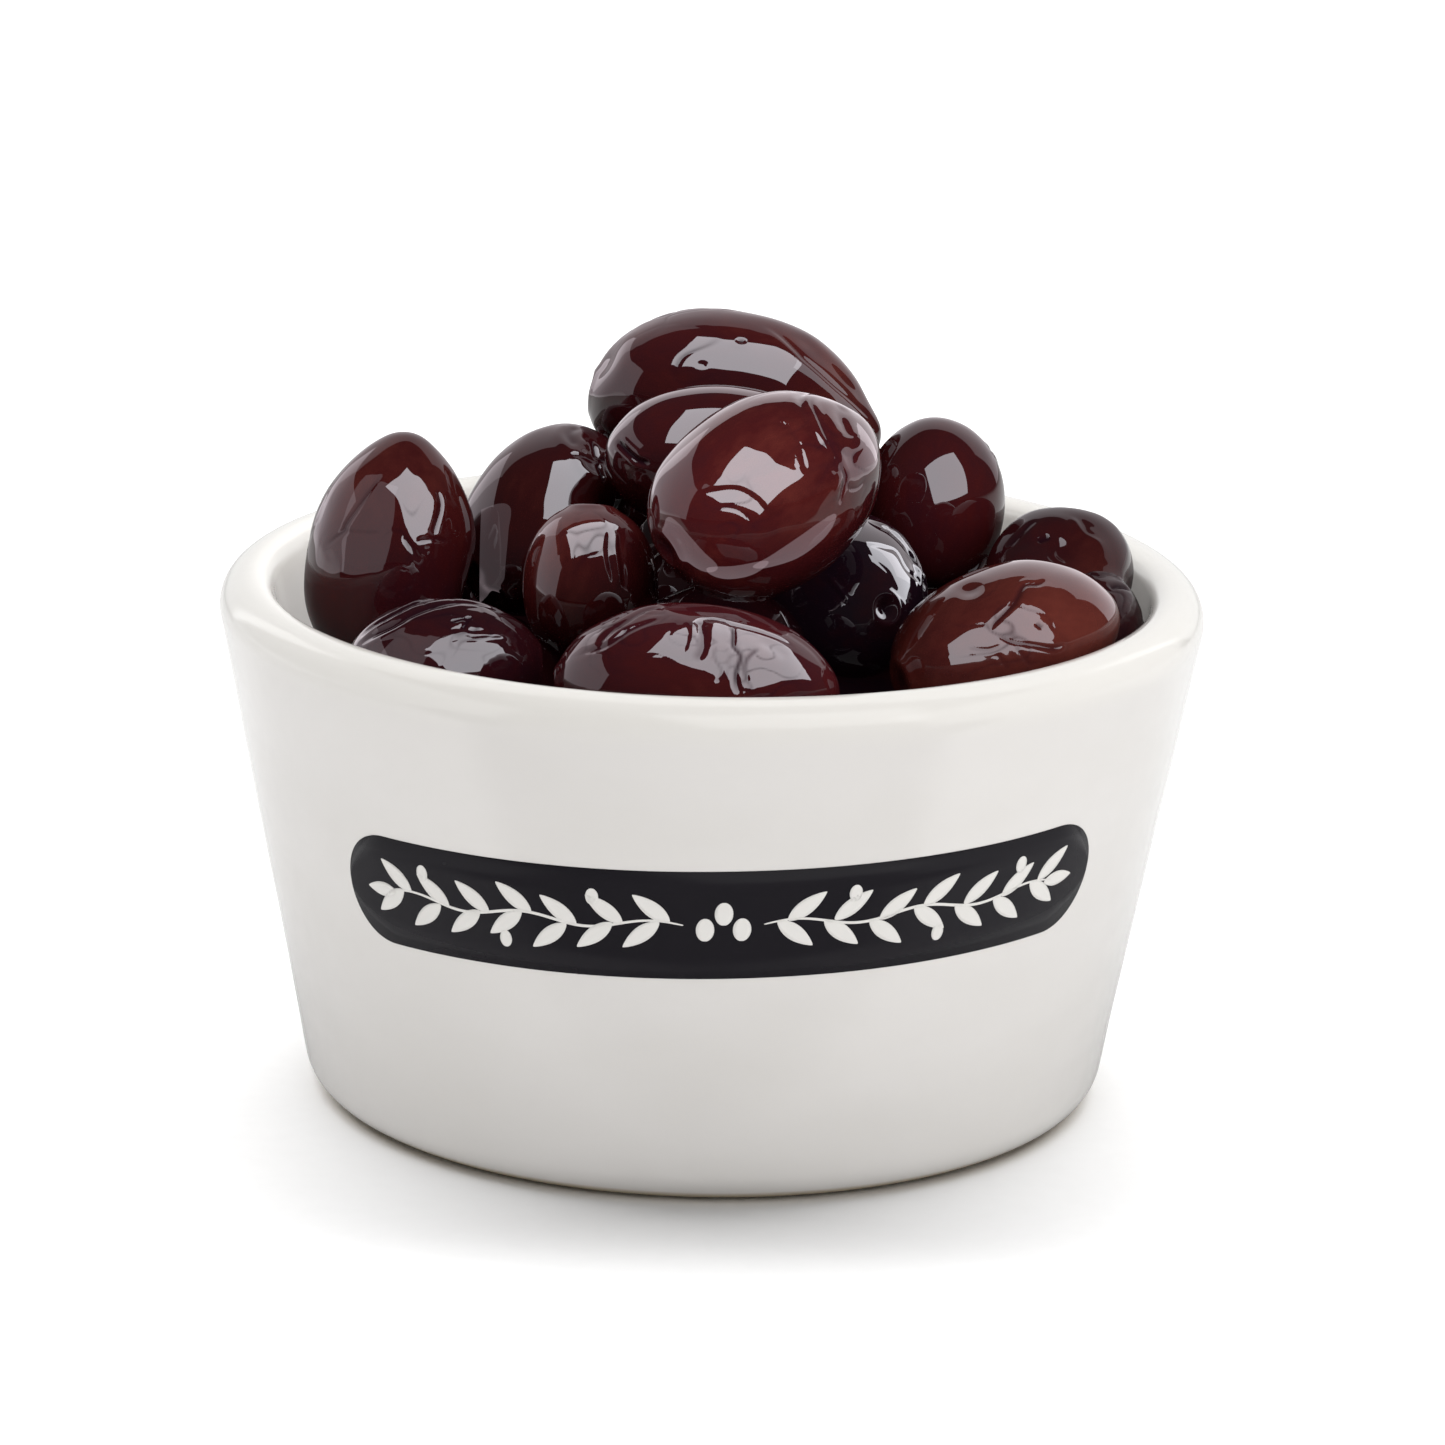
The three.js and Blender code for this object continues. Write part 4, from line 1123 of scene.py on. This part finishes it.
def olive_material(name, settings, roughness, shade):
    """Wet olive skin under a clear film of brine; `shade` scales its colours, and below 1 makes a darker copy
    that paints shade.
    """
    material, tree, shader = new_material(
        name, Roughness=roughness, Specular_IOR_Level=0.0, Coat_Roughness=0.0, Coat_IOR=BRINE_IOR)
    group = place_group(tree, shared_group("olive_skin_grain", skin_group), {
        "Black": rgba([shade * c for c in settings.black]),
        "Body": rgba([shade * c for c in settings.body]),
        "Warm": rgba([shade * c for c in settings.warm]),
    })
    for field, output in (("skin", "Vector"), ("tone", "Fac"), ("dark", "Fac")):
        reader = add_node(tree, "ShaderNodeAttribute", attribute_name=field)
        tree.links.new(reader.outputs[output], group.inputs[field.title()])
    tree.links.new(group.outputs["Color"], shader.inputs["Base Color"])
    tree.links.new(group.outputs["Film"], shader.inputs["Coat Weight"])
    bump(tree, shader, group.outputs["Height"], SKIN_BUMP)
    return material


def glaze_material(name, colour, cloud, speck, roughness, ior=1.5, coat=0.6, dish=None):
    """Glaze with specks. With the dish's settings, the foot's line is bare clay, the rim has its own, lighter
    colour, which is painted light on its top, and the dish is darker in the olives' reflections."""
    material, tree, shader = new_material(
        name, Roughness=roughness, IOR=ior, Coat_Weight=coat, Coat_Roughness=0.12)
    group = place_group(tree, shared_group("glaze_specks", glaze_group), {
        "Color": rgba(colour), "Cloud": rgba(cloud), "Speck": rgba(speck)})
    place = add_node(tree, "ShaderNodeTexCoord")
    tree.links.new(place.outputs["Object"], group.inputs["Place"])
    result = group.outputs["Color"]
    if dish is not None:
        split = add_node(tree, "ShaderNodeSeparateXYZ")
        tree.links.new(place.outputs["Object"], split.inputs[0])
        bare = map_range(tree, split.outputs["Z"], BARE_FOOT * MM, GLAZED_FOOT * MM, 1.0, 0.0)
        result = mix_colours(tree, bare, result, rgba(dish.clay))
        # Painted light: the rim's top turns to the lighter rim colour.
        rim_edge = (HEIGHT - RIM_EDGE) * MM
        wall_edge = rim_edge - RIM_FADE * MM
        on_rim = map_range(tree, split.outputs["Z"], wall_edge, rim_edge, 0.0, 1.0, smooth=True)
        result = mix_colours(tree, on_rim, result, rgba(dish.rim))
        rays = add_node(tree, "ShaderNodeLightPath")
        result = mix_colours(tree, rays.outputs["Is Glossy Ray"], result, rgba(dish.mirrored))
    tree.links.new(result, shader.inputs["Base Color"])
    rough = maths(tree, "ADD", group.outputs["Roughness"], roughness)
    tree.links.new(rough, shader.inputs["Roughness"])
    bump(tree, shader, group.outputs["Height"], GLAZE_BUMP)
    return material


def floor_material(settings):
    """Matt white paper with a barely visible tooth. It is brighter to the camera than to the light that it
    sends back, and in reflections its front, on the camera's side, is as dark as the room there."""
    material, tree, shader = new_material("studio_paper", Roughness=0.8, Specular_IOR_Level=0.0)
    place = add_node(tree, "ShaderNodeTexCoord")
    tooth = noise_texture(tree, place.outputs["Object"], 400.0, 2.0)
    split = add_node(tree, "ShaderNodeSeparateXYZ")
    tree.links.new(place.outputs["Object"], split.inputs[0])
    aside = maths(tree, "MULTIPLY", maths(tree, "ABSOLUTE", split.outputs["X"]), FLOOR_FRONT_SPREAD)
    forward = maths(tree, "ADD", split.outputs["Y"], aside)
    front = map_range(tree, forward, *FLOOR_FRONT)
    near, far, brightening = FLOOR_BEHIND
    behind = map_range(tree, split.outputs["Y"], near, far, 0.0, brightening)
    rays = add_node(tree, "ShaderNodeLightPath")
    paper = mix_colours(tree, map_range(tree, tooth, 0.3, 0.7), rgba(settings.floor),
                        rgba([0.985 * c for c in settings.floor]))
    mirrored = mix_colours(tree, behind, rgba(settings.floor_mirrored), rgba(settings.floor))
    mirrored = mix_colours(tree, front, mirrored, rgba(settings.floor_dark))
    sent_back = mix_colours(tree, rays.outputs["Is Glossy Ray"], rgba(settings.floor_light), mirrored)
    seen = mix_colours(tree, rays.outputs["Is Camera Ray"], sent_back, paper)
    tree.links.new(seen, shader.inputs["Base Color"])
    return material


# ------------------------------------------------------------------ settings

def colour_setting(name, description, default):
    """A colour that a user may change."""
    return FloatVectorProperty(name=name, description=description, subtype="COLOR", default=default)


def length_setting(name, description, default):
    """A length that a user may change, in metres."""
    return FloatProperty(name=name, description=description, unit="LENGTH", default=default, min=0)


def light_setting(name, where, default):
    """The brightness of one light or of a group of lights: its radiance."""
    return FloatProperty(name=name, description=f"Brightness {where}", default=default, min=0)


class DishSettings(PropertyGroup):
    """The dish and its glaze"""

    sides: IntProperty(name="Sides", description="Faces round the dish", default=320, min=32)
    unevenness: length_setting(
        "Unevenness", "How far the hand-made wall wanders inside its true outline", 0.00014)
    glaze: colour_setting("Glaze", "Colour of the glaze", (0.80, 0.775, 0.75))
    cloud: colour_setting("Cloud", "Second colour that clouds the glaze", (0.775, 0.75, 0.72))
    # The rim's lighter colour is painted light on its top.
    rim: colour_setting("Rim", "Colour of the glaze on the rim", (0.82, 0.795, 0.755))
    mirrored: colour_setting("Mirrored", "Colour of the dish in the olives' reflections", (0.2, 0.19, 0.185))
    clay: colour_setting("Clay", "Colour of the bare line round the foot", (0.62, 0.52, 0.38))


class PrintSettings(PropertyGroup):
    """The printed band"""

    reach_left: length_setting(
        "Reach left", "How far the band runs left of the front, round the wall", 0.0425)
    reach_right: length_setting(
        "Reach right", "How far the band runs right of the front, round the wall", 0.0462)
    height: length_setting("Height", "Height of the band", 0.0122)
    tilt: FloatProperty(
        name="Tilt", description="Rise of the band for each unit of its length", default=0.026)
    sprigs: IntProperty(name="Sprigs", description="Pairs of leaves on each side", default=7, min=1)
    ink: colour_setting("Ink", "Colour of the band", (0.016, 0.0145, 0.018))
    figures: colour_setting("Figures", "Colour of the figures on the band", (0.80, 0.78, 0.75))


class OliveSettings(PropertyGroup):
    """The olives and their brine"""

    black: colour_setting("Black", "Darkest colour of the skin", (0.0055, 0.0022, 0.0045))
    body: colour_setting("Body", "Common colour of the skin", (0.0235, 0.0028, 0.0029))
    warm: colour_setting("Warm", "Colour of the lightest skin", (0.062, 0.0125, 0.0085))
    lumps: length_setting("Lumps", "Height of the soft unevenness", 0.00055)
    wrinkles: length_setting("Wrinkles", "Height of the soft wrinkles that run along each olive", 0.00002)
    brine_reach: length_setting(
        "Brine reach", "Gap that the brine still bridges between wet surfaces", 0.001)


class StageSettings(PropertyGroup):
    """The camera, the lights and the floor"""

    distance: length_setting("Camera distance", "From the camera to the middle of the dish", 0.76503)
    tilt: FloatProperty(
        name="Camera tilt", description="How steeply the camera looks down", subtype="ANGLE",
        default=math.radians(CAMERA_TILT))
    roll: FloatProperty(
        name="Camera roll", description="Turn of the camera about its own view", subtype="ANGLE",
        default=math.radians(1.21))
    focal: FloatProperty(
        name="Focal length", description="Focal length in pixels of the square picture", default=7000.0)
    window: light_setting("Window", "of the window on the olives", 7.3)
    left_wall: light_setting("Left wall", "of the left side", 1.35)
    right_wall: light_setting("Right wall", "of the right side", 1.35)
    bounce: light_setting("Bounce", "of the cards under the crown", 2.8)
    backdrop: light_setting("Backdrop", "behind, in the olives", 0.72)
    deep_light: light_setting("Deep light", "between the olives", 2.2)
    dish_key: light_setting("Dish key", "of the dish's window", 1.0)
    dish_front: light_setting("Dish front", "before the dish", 1.27)
    dish_left: light_setting("Dish left", "of the dish's left side", 0.8)
    dish_right: light_setting("Dish right", "of the dish's right side", 0.72)
    dish_back: light_setting("Dish back", "behind the dish", 0.88)
    dish_top: light_setting("Dish top", "above the dish", 2.05)
    dish_fill: light_setting("Dish fill", "inside the dish's wall", 8.0)
    dark_fill: light_setting("Dark fill", "on the darkest olives", 3.2)
    floor_overhead: light_setting("Floor above", "above the floor", 5.6)
    floor_front: light_setting("Floor front", "in front of the floor", 0.95)
    floor: colour_setting("Floor", "Colour of the floor", (0.95, 0.95, 0.95))
    floor_light: colour_setting(
        "Floor light", "Colour of the light that the floor sends back to the dish", (0.74, 0.74, 0.74))
    floor_mirrored: colour_setting(
        "Floor mirrored", "Colour of the floor in reflections", (0.45, 0.45, 0.45))
    floor_dark: colour_setting(
        "Floor dark", "Colour of the floor in front, in reflections", (0.03, 0.03, 0.03))


# ------------------------------------------------------------------ operators

class OLIVEDISH_OT_dish(Operator):
    """Build the glazed dish"""

    bl_idname = "object.olivedish_dish"
    bl_label = "Build the Dish"

    def execute(self, context):
        settings = context.scene.olivedish_dish
        points, rings = dish_surface(settings)
        material = glaze_material("dish_glaze", settings.glaze, settings.cloud, IRON, GLAZE_ROUGHNESS,
                                  dish=settings)
        builder = Builder()
        builder.add(points, rings, settings.sides)
        builder.finish("dish_body", material, "dish")
        return {"FINISHED"}


class OLIVEDISH_OT_print(Operator):
    """Build the printed band and its garland"""

    bl_idname = "object.olivedish_print"
    bl_label = "Build the Print"

    def execute(self, context):
        settings = context.scene.olivedish_print
        unevenness = context.scene.olivedish_dish.unevenness / MM
        surface = {"roughness": PRINT_ROUGHNESS, "ior": PRINT_IOR, "coat": 0.0}
        ink = glaze_material("print_ink", settings.ink, settings.ink, settings.figures, **surface)
        light = glaze_material("print_light", settings.figures, settings.figures, settings.ink, **surface)
        band = Builder()
        band.add(*plate(*band_line(settings), INK_THICKNESS, settings, unevenness))
        band.finish("print_band", ink)
        figures = Builder()
        for line, half_width, heading in garland(settings):
            figures.add(*plate(line, half_width, heading, MOTIF_THICKNESS, settings, unevenness))
        figures.finish("print_garland", light)
        return {"FINISHED"}


class OLIVEDISH_OT_olives(Operator):
    """Build the heap: the dark core and every olive on it"""

    bl_idname = "object.olivedish_olives"
    bl_label = "Build the Olives"

    def execute(self, context):
        settings = context.scene.olivedish_olives
        skin = olive_material("olive_skin", settings, SKIN_ROUGHNESS, 1.0)
        # A darker copy of the skin for the deep olives and the core: painted shade.
        sunk_shaded = olive_material("olive_sunk_shaded", settings, SUNK_ROUGHNESS, SUNK_SHADE)
        groups = {name: [Olive(row) for row in rows] for name, rows in OLIVES.items()}
        everyone = [olive for olives in groups.values() for olive in olives]
        for name, olives in groups.items():
            around, along = GRID.get(name, FRONT_GRID)
            builder = Builder()
            for olive in olives:
                seed = 100 * (1 + everyone.index(olive))
                others = [other for other in everyone if other is not olive]
                points, rings, fields = olive_surface(olive, others, around, along, seed, settings)
                builder.add(points, rings, around, **fields)
            builder.finish(name, sunk_shaded if name == "olives_deep" else skin, "olives")
        points, rings = core_surface()
        core = Builder()
        core.add(points, rings, CORE_SIDES, skin=points, tone=np.full(len(points), CORE_TONE),
                 dark=np.zeros(len(points)))
        core.finish("heap_core", sunk_shaded, "olives")
        return {"FINISHED"}


def towards(azimuth, elevation):
    """The direction from the dish: azimuth 0 is the camera's side, and it grows towards +X."""
    azimuth = math.radians(azimuth)
    elevation = math.radians(elevation)
    flat = math.cos(elevation)
    return Vector((flat * math.sin(azimuth), -flat * math.cos(azimuth), math.sin(elevation)))


def add_panel(name, aim, azimuth, elevation, distance, width, height, roll, radiance):
    """A flat evenly bright panel at a distance in a direction, facing what it is aimed at, and unseen by the
    camera. Its power is its radiance times pi times its area."""
    lamp = bpy.data.lights.new(name, "AREA")
    lamp.shape = "RECTANGLE"
    lamp.size = width
    lamp.size_y = height
    lamp.energy = radiance * math.pi * width * height
    light = bpy.data.objects.new(name, lamp)
    bpy.context.scene.collection.objects.link(light)
    direction = towards(azimuth, elevation)
    light.location = Vector(aim) * MM + direction * distance
    facing = direction.to_track_quat("Z", "Y").to_matrix()
    light.rotation_euler = (facing @ Matrix.Rotation(math.radians(roll), 3, "Z")).to_euler()
    light.visible_camera = False
    return light


class OLIVEDISH_OT_stage(Operator):
    """Set the floor, the studio lights and the camera"""

    bl_idname = "object.olivedish_stage"
    bl_label = "Set the Stage"

    def execute(self, context):
        settings = context.scene.olivedish_stage
        self.add_floor(settings)
        self.add_lights(settings)
        self.add_world()
        self.add_camera(context, settings)
        context.scene.view_settings.view_transform = "Standard"
        return {"FINISHED"}

    def add_floor(self, settings):
        """A flat floor that is only stage."""
        half = FLOOR_HALF
        mesh = bpy.data.meshes.new("floor")
        corners = [(-half, -half, 0), (half, -half, 0), (half, half, 0), (-half, half, 0)]
        mesh.from_pydata(corners, [], [(0, 1, 2, 3)])
        floor = bpy.data.objects.new("floor", mesh)
        bpy.context.scene.collection.objects.link(floor)
        mesh.materials.append(floor_material(settings))

    def add_lights(self, settings):
        """The table's lights: windows, a wall on each side and a backdrop for the olives, and panels of
        their own for the dish and the floor, as they would be lit and masked in turn in a studio."""
        for name, pieces, aim, azimuth, elevation, distance, width, height, roll, setting, share in RIG:
            radiance = share * getattr(settings, setting)
            light = add_panel(name, aim, azimuth, elevation, distance, width, height, roll, radiance)
            light.data.color = TINTS.get(setting, (1, 1, 1))
            light.visible_glossy = setting not in DULL
            light.visible_diffuse = setting not in MIRRORED_ONLY
            if setting in MIRRORED_ONLY:
                light.data.diffuse_factor = 0.0
                light.data.shape = "ELLIPSE"
            receivers = bpy.data.collections.new(f"{name}_receivers")
            for piece in pieces:
                receivers.objects.link(bpy.data.objects[piece])
            light.light_linking.receiver_collection = receivers
            if setting in UNSHADED:
                blockers = bpy.data.collections.new(f"{name}_blockers")
                blockers.objects.link(bpy.data.objects["floor"])
                light.light_linking.blocker_collection = blockers

    def add_world(self):
        """White surroundings that give little light."""
        world = bpy.data.worlds.new("studio")
        bpy.context.scene.world = world
        world.use_nodes = True
        tree = world.node_tree
        background = tree.nodes["Background"]
        rays = add_node(tree, "ShaderNodeLightPath")
        background.inputs["Color"].default_value = (1, 1, 1, 1)
        seen = map_range(tree, rays.outputs["Is Camera Ray"], 0, 1, WORLD_LIGHT, 1.0)
        tree.links.new(seen, background.inputs["Strength"])

    def add_camera(self, context, settings):
        """A camera before the dish that looks down at it, rolled, then turned so that the dish's middle lies
        off the picture's by the named shift."""
        sine = math.sin(settings.tilt)
        cosine = math.cos(settings.tilt)
        right = Vector((1, 0, 0))
        up = Vector((0, sine, cosine))
        back = Vector((0, -cosine, sine))
        looking = Matrix((right, up, back)).transposed()
        offset = Vector((-DISH_SHIFT_X, DISH_SHIFT_Y, settings.focal)).normalized()
        framing = Vector((0, 0, 1)).rotation_difference(offset).to_matrix().inverted()
        camera = bpy.data.objects.new("camera", bpy.data.cameras.new("camera"))
        camera.data.sensor_width = SENSOR
        camera.data.lens = settings.focal / IMAGE_SIDE * SENSOR
        camera.data.clip_start = 0.01
        rotation = looking @ Matrix.Rotation(settings.roll, 3, "Z") @ framing
        middle = Vector((0, 0, 0.5 * DISH_BOX[1].z))
        camera.matrix_world = Matrix.Translation(middle + back * settings.distance) @ rotation.to_4x4()
        context.scene.collection.objects.link(camera)
        context.scene.camera = camera


class OLIVEDISH_PT_panel(Panel):
    """The pieces of the dish of olives"""

    bl_label = "Dish of Olives"
    bl_idname = "OLIVEDISH_PT_panel"
    bl_space_type = "VIEW_3D"
    bl_region_type = "UI"
    bl_category = "Olives"

    def draw(self, context):
        for settings_name, operator in STEPS:
            box = self.layout.box()
            settings = getattr(context.scene, settings_name)
            for name in settings.bl_rna.properties.keys():
                if name not in ("rna_type", "name"):
                    box.prop(settings, name)
            box.operator(operator)


SETTINGS = {
    "olivedish_dish": DishSettings,
    "olivedish_print": PrintSettings,
    "olivedish_olives": OliveSettings,
    "olivedish_stage": StageSettings,
}
STEPS = [(name, f"object.{name}") for name in SETTINGS]
CLASSES = [*SETTINGS.values(), OLIVEDISH_OT_dish, OLIVEDISH_OT_print, OLIVEDISH_OT_olives,
           OLIVEDISH_OT_stage, OLIVEDISH_PT_panel]


def register():
    """Adds the settings, the operators and the panel to Blender."""
    for one in CLASSES:
        bpy.utils.register_class(one)
    for name, group in SETTINGS.items():
        setattr(bpy.types.Scene, name, PointerProperty(type=group))


def unregister():
    """Takes them out again."""
    for name in SETTINGS:
        delattr(bpy.types.Scene, name)
    for one in reversed(CLASSES):
        bpy.utils.unregister_class(one)


def main():
    """Builds every piece and the stage."""
    register()
    bpy.ops.object.olivedish_dish()
    bpy.ops.object.olivedish_print()
    bpy.ops.object.olivedish_olives()
    bpy.ops.object.olivedish_stage()


if __name__ == "__main__":
    main()
